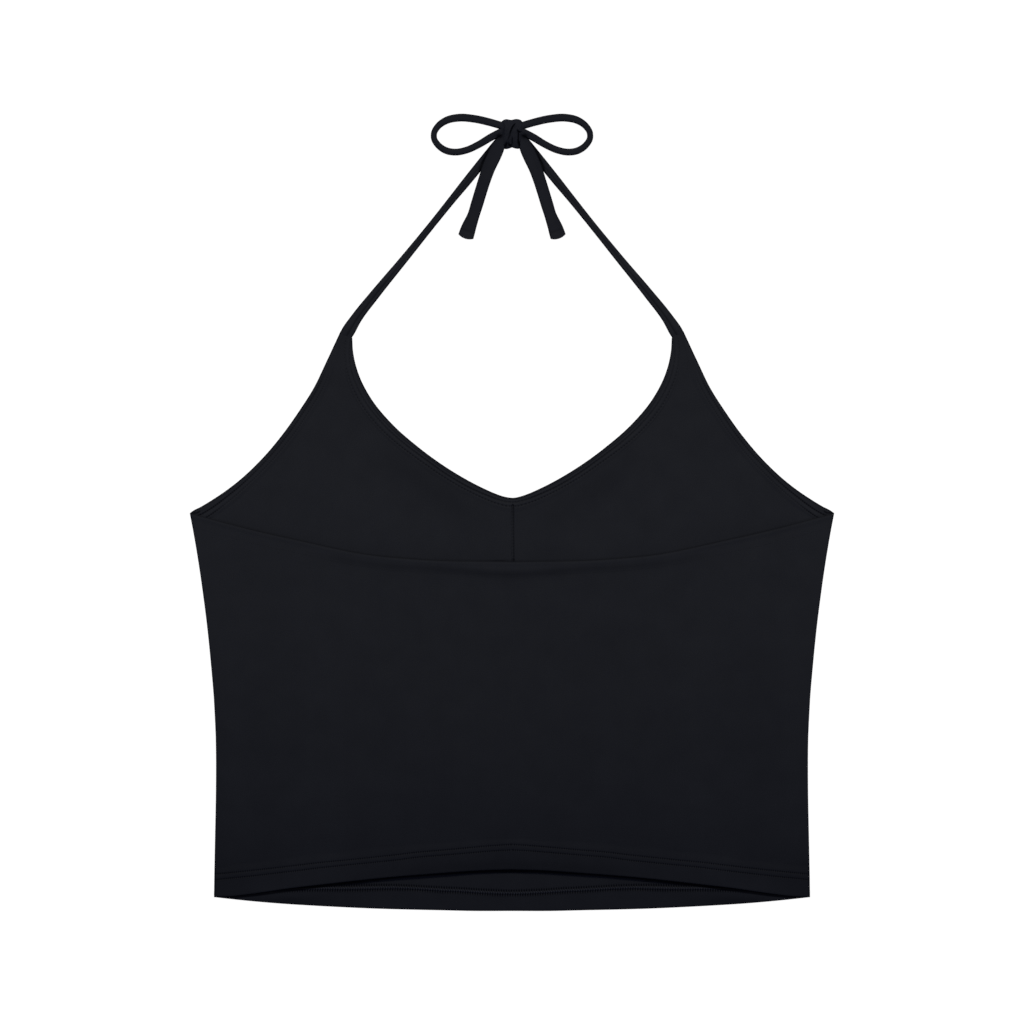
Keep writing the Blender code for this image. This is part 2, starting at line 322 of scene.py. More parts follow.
def distance_to(line, x, y):
    """Distance in plan from points to a bent line, and the length along it of the nearest spot."""
    line = np.asarray(line, float)
    start, step = line[:-1], np.diff(line, axis=0)
    along = length_along(line)[:-1]
    size = np.linalg.norm(step, axis=1)
    px = np.asarray(x)[..., None] - start[:, 0]
    py = np.asarray(y)[..., None] - start[:, 1]
    t = np.clip((px * step[:, 0] + py * step[:, 1]) / size ** 2, 0.0, 1.0)
    gap = np.hypot(px - t * step[:, 0], py - t * step[:, 1])
    nearest = np.argmin(gap, axis=-1)[..., None]
    near = np.take_along_axis(gap, nearest, axis=-1)[..., 0]
    place = np.take_along_axis(along + t * size, nearest, axis=-1)[..., 0]
    return near, place


# ---------------------------------------------------------------- the surfaces that the cloth lies on

def underbust_height(x):
    """Height of the underbust seam under the back panel: a shallow bow that rises to the sides."""
    return UNDERBUST_HEIGHT + UNDERBUST_RISE * (np.abs(x) / HALF_AT_UNDERARM) ** 2


def bust_top(x, y):
    """Top of the bust halves: flat, with a soft unevenness."""
    return BUST_TOP + 0.10 * unevenness(x, y, 62.0, 3) + 0.05 * unevenness(x, y, 24.0, 4)


def front_top(x, y):
    """Top of the lower front: flat, with a soft unevenness."""
    return FRONT_TOP + 0.05 * unevenness(x, y, 55.0, 5)


def hem_lift(x):
    """How far the back's hem stands off the front, most in the middle and nothing at the sides."""
    share = np.abs(x) / 194.0
    return 2.5 * (1 - ramp(share, 0.50, 0.80)) + 0.25 * bell(x, -38.0, 30.0) - 0.20 * bell(x, 62.0, 24.0)


def fold_reach(x):
    """How strongly the fold below the back's edge shows, from the middle out towards the sides."""
    return np.interp(np.abs(x), [0, 27, 47, 73, 93, 112, 138], [1.0, 0.93, 0.95, 0.8, 0.66, 0.55, 0.0])


def fold_distance(x, y):
    """Distance below the darkest line of that fold."""
    return underbust_height(x) - y - 0.1 + 2.0 * bell(np.abs(x), 47.0, 28.0)


def back_top(x, y):
    """Top of the back panel.

    It rides on the two-ply bust and sinks a little below the underbust seam, over a soft fold
    there in the middle. Air under it swells the body, and it falls again towards its hem, which
    still stands off the front in the middle.
    """
    share = np.abs(x) / side_half_width(y)
    below = underbust_height(x) - y
    height = 1.95 - 0.30 * ramp(below, -3.0, 30.0)
    height -= 0.32 * ramp(fold_distance(x, y), -3.6, 3.6) * fold_reach(x)
    swell = np.clip(1 - (share / 0.93) ** 2, 0.0, 1.0)
    above = y - crossing_height(BACK_HEM, np.clip(share, 0.0, 1.0))
    height += hem_lift(x) * ramp(below, 30.0, 150.0)
    height += 1.6 * swell * ramp(above, 0.0, 62.0) * ramp(below, 0.0, 110.0)
    calm = 1 - 0.6 * ramp(share, 0.85, 1.0)
    relief = 0.14 * unevenness(x, y, 78.0, 11) + 0.05 * unevenness(x, y, 30.0, 12)
    relief += 0.22 * np.sin((np.abs(x) - 158.0) / 9.5) * bell(np.abs(x), 158.0, 34.0) \
        * ramp(-y, 70.0, 110.0) * (1 - ramp(-y, 205.0, 235.0))
    return height + relief * calm


def side_rim(x, y):
    """Painted shade on the cloth where it turns down at the side seam."""
    away = side_half_width(y) - np.abs(x)
    return (0.42 + 0.30 * ramp(-y, 225.0, 236.0)) * bell(away, 0.35, 0.62)


def back_tone(x, y):
    """Tone of the back panel, painted light and shade: faint lighter and darker strips at the sides that
    stand in for the light on shallow waves, a painted highlight on the roll along the free edge, the
    painted shade of the fold below it, lighter and darker patches, and the painted shade of the turn
    at the side seams."""
    span = ramp(-y, 55.0, 100.0) * (1 - ramp(-y, 215.0, 250.0))
    a = np.abs(x)
    strips = 0.045 * bell(a, 181.0, 8.0) - 0.030 * bell(a, 158.0, 9.0) + 0.030 * bell(a, 124.0, 14.0)
    fold = fold_distance(x, y)
    edge = edge_height(BACK_TOP_EDGE, a, HALF_AT_BACK_EDGE) - y
    reach = fold_reach(x)
    near_side = bell(fold, 0.0, 2.4)
    far_side = 0.65 * bell(fold, 0.0, 2.6) + 0.35 * bell(fold, 0.0, 7.0)
    shade = 0.27 * reach * np.where(fold < 0, near_side, far_side)
    light = 0.14 * bell(edge, 2.8, 2.2) * reach
    # lighter and darker patches: painted light and shade
    painted_patches = (0.075 + 0.04 * bell(a, 125.0, 30.0)) * bell(y, -189.0, 28.0)
    painted_patches -= 0.06 * bell(y, -93.0, 27.0) * (1 - ramp(a, 70.0, 150.0))
    painted_patches += 0.09 * bell(a, 130.0, 27.0) * bell(y, -233.0, 12.0)
    painted_patches -= 0.13 * ramp(a, 162.0, 185.0) * bell(y, -236.0, 12.0)
    painted_patches += 0.09 * bell(a, 160.0, 18.0) * bell(y, -245.0, 5.0)
    return (1.0 + strips * span - shade + light + painted_patches) * (1 - side_rim(x, y))


def hem_shadow(x, y):
    """Painted shadow on the front just below the back's hem, which all but touches it."""
    a = np.abs(x)
    edge = edge_height(BACK_HEM, a, HALF_AT_HEM)
    reach = np.interp(a, [0, 14, 30, 53, 76, 99, 118, 138, 154, 167, 181, 190],
                      [1.85, 1.4, 1.3, 0.85, 0.85, 1.4, 1.1, 1.7, 1.35, 1.25, 0.9, 0.6])
    below = edge - 0.6 - y
    return 0.985 * (1 - ramp(below, reach - 0.4, reach + 0.4))


def front_tone(x, y):
    """Tone of the front where it shows below the back: the painted shadow below the back's hem,
    lighter and darker painted patches, and the painted shade of the turn at the side seams.
    """
    a = np.abs(x)
    # lighter patches and a darker one low down by the hem: painted light and shade
    painted_patches = 0.11 * (1 - ramp(a, 90.0, 120.0)) + 0.13 * ramp(a, 95.0, 125.0) * ramp(y, -251.0, -247.0)
    painted_patches -= 0.32 * bell(a, 146.0, 20.0) * (1 - ramp(y, -254.0, -250.0))
    return (1.0 - hem_shadow(x, y)) * (1.0 + painted_patches) * (1 - side_rim(x, y))


def bust_tone(x, y):
    """Tone of the bust halves: a soft painted shade that follows the neckline some way in, and painted
    shade along the back's edge, soft and with a thin dark line right at it, over a faint random tone."""
    a = np.abs(x)
    neckline = np.interp(a, [p[0] for p in NECKLINE], [p[1] for p in NECKLINE])
    under = neckline - y
    shade = 0.13 * bell(under, 22.0, 11.0) * ramp(a, 4.0, 30.0) * (1 - ramp(a, 62.0, 98.0))
    edge = y - edge_height(BACK_TOP_EDGE, a, HALF_AT_BACK_EDGE)
    shade += 0.10 * bell(edge, 0.0, 7.0) * (1 - ramp(a, 175.0, 205.0))
    shade += (0.20 + 0.44 * bell(x, -8.0, 7.0)) * bell(edge, 0.3, 0.55)
    return 1.0 - shade + 0.012 * unevenness(x, y, 70.0, 21)


# ---------------------------------------------------------------- panels

def square_to(path, left):
    """Unit vectors square to a path in plan, to its left or to its right."""
    way = unit(np.gradient(path[:, :2], axis=0))
    return np.stack([-way[:, 1], way[:, 0]], axis=1) * (1 if left else -1)


SEAM_EDGE_RIGHT = 1.35       # the crisp edge beside the centre seam
SEAM_EDGE_LEFT = -0.30       # the soft one on its other side
SEAM_TIP_RIGHT = 0.30        # where the two close up at the V
SEAM_TIP_LEFT = 0.70
SEAM_RADIUS = {1: 0.32, -1: 0.75}      # radius of the turn down on either side
UNDER_BAND = 0.55            # how far in from its edge a panel's cloth ends, under the edge's band
NEAR_EDGE = np.array([0.0, 0.03, 0.1, 0.22, 0.4, 0.65, 1.0, 1.5, 2.2, 3.2])


def seam_drift(y):
    """How far the centre seam has drifted to the right, some way below the V."""
    return 0.30 * ramp(-y, 10.0, 40.0)


def seam_edge(y, side):
    """Where a bust half's cloth turns down beside the centre seam; both close up at the V."""
    open_up = ramp(V_POINT_HEIGHT - y, 3.2, 5.4)
    if side > 0:
        return SEAM_TIP_RIGHT + (SEAM_EDGE_RIGHT - SEAM_TIP_RIGHT) * open_up + seam_drift(y)
    wavy = 0.14 * np.sin(y / 0.62) + 0.10 * np.sin(y / 0.37 + 1.0) + 0.12 * np.sin(y / 2.9)
    return SEAM_TIP_LEFT + (SEAM_EDGE_LEFT - SEAM_TIP_LEFT + wavy) * open_up + seam_drift(y)


def bust_half(name, side):
    """One bust half, two plies thick: straight rows from the centre seam and the neckline out to
    the side seam and the armhole, under the bands that finish those edges."""
    low_y = np.linspace(0.0, 1.0, 66)[:-1]
    inner, outer = even_curve(NECKLINE, 56), even_curve(ARMHOLE, 56)
    inner = inner + square_to(inner, left=False) * UNDER_BAND
    outer = outer + square_to(outer, left=True) * UNDER_BAND
    share = np.concatenate([NEAR_EDGE / 205.0, np.linspace(0.03, 0.985, 58), 1 - NEAR_EDGE[4::-1] / 205.0])
    share[-1] = 1.0
    upper = inner[:, None, :] * (1 - share[:, None]) + outer[:, None, :] * share[:, None]
    seam_y = underbust_height(share * HALF_AT_UNDERARM) - 3.0
    seam = np.stack([side_half_width(seam_y) * share, seam_y], axis=1)
    rise = low_y[:, None, None]
    plan = np.concatenate([seam * (1 - rise) + upper[0] * rise, upper])
    x, y = plan[..., 0].copy(), plan[..., 1]
    edge = np.abs(seam_edge(y, side)) if side > 0 else -seam_edge(y, side)
    hold = 1 - ramp(x, 0.0, 12.0)
    x = x + hold * np.where(y < V_POINT_HEIGHT + 1.0, edge, 0.0)
    inside = x - edge
    turn = turned(inside, SEAM_RADIUS[side]) * (y < V_POINT_HEIGHT)
    away = side_half_width(y) - x
    under_arm = np.where(y < -0.5, turned(np.maximum(away, 0.0)), 0.0)
    top = bust_top(side * x, y)
    middle = (top + FLOOR_GAP) / 2
    high = top - np.maximum(turn, under_arm) * (top - middle)
    covered = edge_height(BACK_TOP_EDGE, x, HALF_AT_BACK_EDGE) - y
    high = high - 0.30 * ramp(covered, 0.8, 3.5)
    low = FLOOR_GAP + np.maximum(turn, under_arm) * (middle - FLOOR_GAP) * 0.98
    upper_skin = np.stack([side * x, y, high], axis=-1)
    lower_skin = np.stack([side * x, y, low], axis=-1)
    return cloth_sheet(name, upper_skin, lower_skin, bust_tone(side * x, y))


def panel_columns(half_width, inset):
    """Plan places across a panel from side seam to side seam, dense where it turns at the sides."""
    near = np.array([0.0, 0.02, 0.08, 0.18, 0.33, 0.55, 0.85, 1.2, 1.5, 2.2, 3.4, 5.0, 7.0, 9.5, 12.5])
    out = half_width[:, None] - inset - near[None, :]
    middle = np.linspace(0.0, 1.0, 62)[:-1][None, :] * (half_width[:, None] - inset - 15.0)
    right = np.concatenate([middle, out[:, ::-1]], axis=1)
    return np.concatenate([-right[:, :0:-1], right], axis=1)


def body_panel(name, lower, upper, rows, surface, tone, turned_down):
    """A panel from side seam to side seam between two edges, given as heights for a share of the
    half width. Its outer skin turns down, or up for the front, to the side seam, and the inner
    skin follows a ply behind it."""
    def grid(inset):
        rise = rows[:, None]
        centre_y = (lower(np.zeros(1)) * (1 - rows) + upper(np.zeros(1)) * rows)
        half = side_half_width(centre_y)
        columns = panel_columns(half, inset)
        share = columns / half[:, None]
        y = lower(share) * (1 - rise) + upper(share) * rise
        half = side_half_width(y)
        x = share * half
        return x, y, np.maximum(half - np.abs(x), 0.0)

    x, y, away = grid(0.0)
    z = surface(x, y)
    turn = turned(away)
    if turned_down:
        outer = np.stack([x, y, z - turn * (z - SIDE_SEAM_Z)], axis=-1)
    else:
        outer = np.stack([x, y, FLOOR_GAP + turn * (SIDE_SEAM_Z - FLOOR_GAP)], axis=-1)
    x, y, away = grid(JERSEY)
    z = surface(x, y) - (JERSEY if turned_down else 0.0)
    turn = turned(np.maximum(away - JERSEY, 0.0) * 1.3)
    inner = np.stack([x, y, z - turn * (z - SIDE_SEAM_Z)], axis=-1)
    top, low = (outer, inner) if turned_down else (inner, outer)
    return cloth_sheet(name, top, low, tone(x, y))


# ---------------------------------------------------------------- bands: the high-detail edges

def band_places(rows, width, wide_step):
    """Distances in from an edge out to the width. The step between them is smallest beside a stitch
    row and grows with the distance from it, up to the wide step."""
    step = np.full(4000, wide_step)
    place = np.linspace(ROLL, width, 4000)
    for row in rows:
        step = np.minimum(step, 0.14 + 0.35 * np.maximum(np.abs(place - row) - 0.75, 0.0))
    count = np.concatenate([[0.0], np.cumsum((place[1:] - place[:-1]) / step[1:])])
    return np.interp(np.linspace(0.0, count[-1], int(np.ceil(count[-1])) + 1), count, place)[1:]


def edge_band(name, edge, inward, rows, width, surface, relief, low, plan, tone, step=0.55):
    """The finished edge of a panel, as a strip swept along the edge over the panel's own cloth.

    Round the ring of points: under the cloth to the rolled edge, half an ellipse round it, and
    back over the top at the surface's height plus a relief that depends on the distance in from
    the edge and the length along it. The stitch rows and the width may drift along the edge; the
    ring's points keep their share of the way between them. A plan moves the points to their place.
    """
    stations = [np.full(len(edge), ROLL)] + [np.broadcast_to(row, len(edge)) for row in rows]
    stations = np.stack(stations + [np.broadcast_to(width, len(edge))], axis=1)
    usual = np.median(stations, axis=0)
    places = band_places(usual[1:-1], usual[-1], step)
    along = length_along(edge)[:, None]
    angle = np.linspace(-90.0, 90.0, 12)
    roll = ROLL * (1 - np.cos(np.radians(angle)))
    under = np.array([usual[-1], 2.4, 1.4])
    inwards = np.concatenate([under, roll, places])
    if len(inwards) % 2:
        inwards = np.insert(inwards, 1, usual[-1] * 0.6)
        under = inwards[:4]
    span = np.clip(np.searchsorted(usual, inwards, side="right") - 1, 0, len(usual) - 2)
    t = (inwards - usual[span]) / (usual[span + 1] - usual[span])
    distance = stations[:, span] * (1 - t) + stations[:, span + 1] * t
    distance = np.where(inwards < ROLL, inwards, distance)
    xy = edge[:, None, :] + inward[:, None, :] * distance[:, :, None]
    xy = plan(xy, distance)
    x, y = xy[..., 0], xy[..., 1]
    ground = surface(x, y)
    height = ground + relief(distance, along, x, y)
    first, last = len(under), len(under) + len(roll)
    floor = low(x, y)
    rim = height[:, last - 1:last]
    base = floor[:, first:first + 1]
    lift = (1 + np.sin(np.radians(angle)))[None, :] / 2
    height[:, first:last] = base + (rim - base) * lift
    height[:, :first] = np.minimum(ground[:, :first] - 0.25, floor[:, :first] + 0.22)
    rings = np.concatenate([xy, height[..., None]], axis=2)
    return ring_sweep(name, rings, xy, tone(distance, along, x, y))


def ways_in(path, left, first, last, reach):
    """Offset directions square to a path, to its left or right, that swing to given ones at its
    ends, lengthened as a mitre is."""
    inward = square_to(path, left)
    along = length_along(path)
    out = inward.copy()
    weights = (1 - ramp(along, 0.0, reach), ramp(along, along[-1] - reach, along[-1]))
    for direction, weight in zip((first, last), weights):
        if direction is not None:
            goal = unit(np.array(direction, float))
            mixed = unit(out * (1 - weight[:, None]) + goal * weight[:, None])
            out = mixed / np.sum(mixed * inward, axis=1, keepdims=True).clip(0.5, 1.0)
            out = np.where(weight[:, None] > 0, out, unit(out) * np.linalg.norm(out, axis=1, keepdims=True))
    return out


def graded(path):
    """A path with extra stations close to its ends, where it turns down into a seam."""
    along = length_along(path)
    extra = np.array([0.04, 0.1, 0.18, 0.28, 0.4, 0.55])
    wanted = np.unique(np.round(np.concatenate([along, extra, along[-1] - extra]), 4))
    return read_along(path, along, wanted)


# Stitch rows: length along the edge from the V or the underarm, then how far in from the edge the
# first row, the second row and the fine line of the rim lie
NECK_ROWS = [
    (0.0, 3.0, 5.6, 1.3), (12.0, 3.2, 5.9, 1.4), (30.0, 3.8, 6.1, 1.5), (45.0, 3.8, 6.25, 2.0),
    (60.0, 3.6, 6.25, 1.8), (80.0, 4.2, 7.05, 2.4), (100.0, 4.5, 7.6, 2.6), (120.0, 4.4, 7.3, 2.1),
    (135.0, 3.8, 6.7, 1.7), (145.0, 2.9, 5.8, 1.3), (157.0, 0.9, 4.2, 0.75),
]
ARM_ROWS = [
    (0.0, 4.6, 8.0, 2.2), (9.0, 4.5, 7.9, 2.0), (16.0, 4.3, 7.5, 1.4), (25.0, 3.7, 6.9, 1.3),
    (36.0, 3.3, 6.1, 1.3), (50.0, 2.9, 5.7, 1.3), (75.0, 2.9, 5.7, 1.3), (90.0, 2.9, 5.8, 1.3),
    (105.0, 2.6, 5.5, 1.3), (120.0, 2.4, 5.3, 1.3), (160.0, 2.4, 5.3, 1.3),
]
NECK_PITCH = 2.07            # length of a stitch
ARM_PITCH = 1.53
BACK_PITCH = 1.45
FRONT_PITCH = 1.64
CENTRE_PITCH = 1.35
NECK_LAG = 0.9               # how far the second row's holes lag behind the first row's
ARM_LAG = 0.7
BACK_LAG = 0.7
FRONT_LAG = 0.8
NECK_WIDTH = 9.2             # how far in a band reaches
ARM_WIDTH = 8.4
BACK_EDGE_WIDTH = 8.5
BACK_BAND = 21.0
FRONT_BAND = 17.6
BUST_STEPS = 430             # steps along the neckline and along the armhole
BACK_EDGE_STEPS = 430
HEM_STEPS = {"back": 1200, "front": 1100}
HEM_ROW_STEPS = {"back": 1360, "front": 1200}      # steps along the rows of stitches there
NECK_START = (0.0, -1.0)     # ways in at the V, at the underarm and at the ends of the other edges
ARM_START = (-0.19, -0.98)
BACK_EDGE_START = (0.168, -0.986)
HEM_START = (0.014, 1.0)


def rows_in(rows, along):
    """How far in from their edge the stitch rows and the rim's line lie, at a length along it."""
    table = np.array(rows)
    return [cubic(table[:, 0], column, np.clip(along, 0.0, table[-1, 0])) for column in table.T[1:]]


def floor_gap(x, y):
    """Height of the underside of the cloth that lies on the floor."""
    return np.full(x.shape, FLOOR_GAP)


def needle_holes(along, pitch):
    """1 at each needle hole of a row and 0 halfway to the next, as a cosine."""
    return 0.5 + 0.5 * np.cos(2 * np.pi * along / pitch)


def stitched_groove(distance, along, row, depth, width, pitch):
    """A groove along a row of stitches, deeper at each needle hole."""
    hole = needle_holes(along, pitch)
    return -(0.55 + 0.45 * hole ** 2) * depth * bell(distance, row, width * (0.9 + 0.25 * hole))


def needle_shade(distance, along, row, line, dot, pitch, width=0.40, gleam=0.20):
    """Painted shade along a row of stitches: a dark line and a dark dot at each hole, and less than
    nothing, a painted highlight, between two holes."""
    hole = needle_holes(along, pitch)
    return (line + dot * hole ** 1.5 - gleam * (1 - hole)) * bell(distance, row, width * (0.9 + 0.3 * hole))


def neckline_band(name, side):
    """The neckline edge of one bust half, with its fine turned rim and two rows of stitches."""
    path = graded(even_curve(NECKLINE, BUST_STEPS))
    along = length_along(path)
    total = along[-1]
    inward = ways_in(path, False, NECK_START, None, 9.0)
    width = 5.6 + (NECK_WIDTH - 5.6) * ramp(total - along, 2.0, 34.0)

    def plan(xy, distance):
        moved = xy.copy()
        shift = seam_edge(V_POINT_HEIGHT - distance, side) * side
        moved[..., 0] = moved[..., 0] + shift * (1 - ramp(xy[..., 0], 0.0, 6.0))
        moved[..., 0] *= side
        return moved

    def relief(distance, s, x, y):
        tip = total - s
        first, second, line = rows_in(NECK_ROWS, s)
        height = 0.16 - 0.14 * ramp(distance, second + 0.9, width[:, None])
        height = 0.03 + (height - 0.03) * (0.25 + 0.75 * ramp(tip, 6.0, 34.0))
        height -= 0.08 * bell(distance, line, 0.34) * ramp(first, 2.4, 3.4)
        height += 0.05 * bell(distance, (first + second) / 2, 0.7)
        sunk = 0.3 + 0.7 * ramp(tip, 6.0, 34.0)
        height += sunk * stitched_groove(distance, s, first, 0.20, 0.42, NECK_PITCH)
        height += sunk * stitched_groove(distance, s + NECK_LAG, second, 0.17, 0.42, NECK_PITCH)
        from_seam = np.abs(x - seam_edge(y, side))
        opened = ramp(distance, 3.2, 5.2)
        return height - opened * turned(from_seam, SEAM_RADIUS[side]) * 0.5

    def tone(distance, s, x, y):
        tip = total - s
        first, second, line = rows_in(NECK_ROWS, s)
        # Painted shade and light: a dark rim on the rolled edge, a fine dark line, dark needle holes along
        # both rows, and lighter stripes either side of the first row.
        shade = 0.82 * bell(distance, 0.35, 0.48) * (0.4 + 0.6 * ramp(tip, 10.0, 40.0))
        deep = 0.12 + 0.34 * ramp(s, 22.0, 45.0) * (1 - ramp(s, 102.0, 124.0))
        shade += deep * bell(distance, line, 0.32)
        strong = (0.35 + 0.65 * ramp(s, 4.0, 16.0)) * (1 - 0.78 * ramp(s, 28.0, 130.0))
        soft = 1 - 0.6 * ramp(s, 60.0, 135.0)
        later = s + NECK_LAG
        shade += needle_shade(distance, s, first, 0.66 * strong, 0.40 * soft, NECK_PITCH, 0.52)
        shade += needle_shade(distance, later, second, 0.20 * soft, 0.55 * soft, NECK_PITCH, 0.42)
        shade = shade - 0.13 * bell(distance, first + 1.25, 0.45) - 0.13 * bell(distance, first - 1.15, 0.4)
        return bust_tone(x, y) * np.clip(1 - shade, 0.03, 1.4)

    first, second, line = rows_in(NECK_ROWS, along)
    return edge_band(name, path, inward, (line, first, second), width, bust_top, relief, floor_gap,
                     plan, tone)


def armhole_band(name, side):
    """The armhole edge of one bust half, from the underarm to the strap, with two rows of stitches."""
    path = graded(even_curve(ARMHOLE, BUST_STEPS))
    along = length_along(path)
    total = along[-1]
    inward = ways_in(path, True, ARM_START, None, 7.0)
    width = 2.9 + (ARM_WIDTH - 2.9) * ramp(total - along, 2.0, 36.0)
    squeeze = width / ARM_WIDTH
    width += 1.6 * (1 - ramp(along, 20.0, 50.0))
    rows = [row * squeeze for row in rows_in(ARM_ROWS, along)[:2]]
    first, second = rows[0][:, None], rows[1][:, None]

    def relief(distance, s, x, y):
        shown = ramp(total - s, 22.0, 40.0)
        height = 0.24 - 0.22 * ramp(distance, second + 0.8, width[:, None])
        height = 0.03 + (height - 0.03) * (0.10 + 0.90 * ramp(total - s, 6.0, 34.0))
        height = height + 0.06 * bell(distance, 1.4, 0.4) * shown - 0.06 * bell(distance, 2.0, 0.3) * shown
        height += stitched_groove(distance, s, first, 0.18, 0.40, ARM_PITCH) * shown
        height += stitched_groove(distance, s + ARM_LAG, second, 0.15, 0.42, ARM_PITCH) * shown
        return height - 0.16 * bell(distance, 1.5, 0.42) * (1 - ramp(s, 5.0, 20.0))

    def tone(distance, s, x, y):
        shown = ramp(total - s, 22.0, 40.0)
        near = 1 - ramp(s, 12.0, 60.0)
        # Painted shade and light: a dark rim on the rolled edge with a lighter stripe inside it, dark needle
        # holes along both rows, a fine dark line, a lighter stripe beside the first row and a dark spot in
        # the underarm's corner.
        shade = 0.78 * bell(distance, 0.32, 0.48) * (0.35 + 0.65 * ramp(s, 4.0, 14.0))
        shade -= 0.16 * bell(distance, 1.35, 0.45)
        shade += needle_shade(distance, s, first, 0.42 + 0.42 * near, 0.40, ARM_PITCH, 0.50) * shown
        line = 0.10 + 0.65 * (1 - ramp(s, 12.0, 24.0))
        shade += needle_shade(distance, s + ARM_LAG, second, line, 0.42, ARM_PITCH, 0.44) * shown
        shade += 0.26 * bell(distance, 1.3, 0.34) * bell(s, 25.0, 12.0)
        shade -= 0.18 * bell(distance, first + 1.2, 0.5) * near
        corner = (2.4 - 2.1 * ramp(s, 5.0, 7.5)) * bell(distance, np.minimum(2.4, 0.5 + 0.43 * s), 0.44)
        shade += corner * (1 - ramp(s, 8.0, 17.0))
        return bust_tone(x, y) * np.clip(1 - shade, 0.02, 1.3)

    return edge_band(name, path, inward, rows, width, bust_top, relief, floor_gap,
                     lambda xy, distance: xy * np.array([side, 1.0]), tone)


def crossing_edge(edge, steps):
    """An edge that crosses the garment, as an even path from the left side seam to the right."""
    share = np.linspace(-1.0, 1.0, 401)
    y = crossing_height(edge, share)
    return cut_evenly(np.stack([side_half_width(y) * share, y], axis=1), steps)


def side_drop(x, y, top):
    """Height lost next to the side seam by cloth that turns down there."""
    away = side_half_width(y) - np.abs(x)
    return turned(np.maximum(away, 0.0)) * (top - SIDE_SEAM_Z)


def kept_inside(xy, distance):
    """Plan points held within the side seams."""
    moved = xy.copy()
    limit = side_half_width(xy[..., 1])
    moved[..., 0] = np.clip(xy[..., 0], -limit, limit)
    return moved


def leaning_out(way):
    """The mirror image, at the right side seam, of a way in at the left one."""
    return -way[0], way[1]


def hem_line(edge, steps, fine_ends):
    """A hem's path and the ways in from it, which stand upright at the side seams."""
    path = crossing_edge(edge, steps)
    if fine_ends:
        path = graded(path)
    return path, ways_in(path, True, HEM_START, leaning_out(HEM_START), 6.0)


def back_edge_band(name):
    """The back's free top edge: the cloth turned under, a soft rounded rim that fades inwards."""
    path = graded(crossing_edge(BACK_TOP_EDGE, BACK_EDGE_STEPS))
    inward = ways_in(path, False, BACK_EDGE_START, leaning_out(BACK_EDGE_START), 9.0)

    def relief(distance, s, x, y):
        height = 0.04 + 0.19 * bell(distance, 1.5, 1.6)
        return height - side_drop(x, y, back_top(x, y))

    return edge_band(name, path, inward, (), BACK_EDGE_WIDTH, back_top, relief,
                     lambda x, y: np.minimum(back_top(x, y) - 1.15, BUST_TOP + 0.06), kept_inside,
                     # the tone darkens the outer part of the roll: painted shade where it meets the bust
                     lambda d, s, x, y: back_tone(x, y) * (1 - 0.60 * bell(d, 0.25, 0.45)), step=0.35)


def rows_above(hem, rows, x):
    """Distances of a hem's lower and upper row of stitches from the hem."""
    a = np.abs(x)
    edge = edge_height(hem, a, HALF_AT_HEM)
    return [cubic(*np.array(row).T, np.minimum(a, ROWS_END)) - edge for row in rows]


def back_hem_band(name):
    """The back's hem, turned under: two rows of stitches with a soft ridge between them, and a
    slight wave of the free edge below."""
    path, inward = hem_line(BACK_HEM, HEM_STEPS["back"], True)
    rows = rows_above(BACK_HEM, BACK_STITCH_ROWS, path[:, 0])
    lower, upper = rows[0][:, None], rows[1][:, None]

    def relief(distance, s, x, y):
        height = 0.03 + 0.34 * (1 - ramp(distance, upper + 1.0, BACK_BAND - 0.5))
        height += 0.12 * bell(distance, sum(rows_above(BACK_HEM, BACK_STITCH_ROWS, x)) / 2, 1.1)
        height += stitched_groove(distance, s, lower, 0.26, 0.42, BACK_PITCH)
        height += stitched_groove(distance, s + BACK_LAG, upper, 0.24, 0.42, BACK_PITCH)
        height += 0.10 * unevenness(x, y * 0.35, 26.0, 31) * ramp(distance, 0.0, 4.0)
        return height - side_drop(x, y, back_top(x, y) + height)

    def tone(distance, s, x, y):
        # Painted shade on the rolled edge and in a band above it in the middle, dark needle holes and painted
        # highlights between them.
        shade = 0.35 * bell(distance, 0.1, 0.5)
        shade += 0.24 * bell(distance, 2.5, 4.5) * (1 - ramp(np.abs(x), 25.0, 120.0))
        shade += needle_shade(distance, s, lower, 0.02, 1.20, BACK_PITCH, 0.50)
        shade += needle_shade(distance, s + BACK_LAG, upper, 0.02, 1.20, BACK_PITCH, 0.50)
        return back_tone(x, y) * np.clip(1 - shade, 0.03, 1.4)

    return edge_band(name, path, inward, rows, BACK_BAND, back_top, relief,
                     lambda x, y: back_top(x, y) - 0.95, kept_inside, tone, step=0.8)


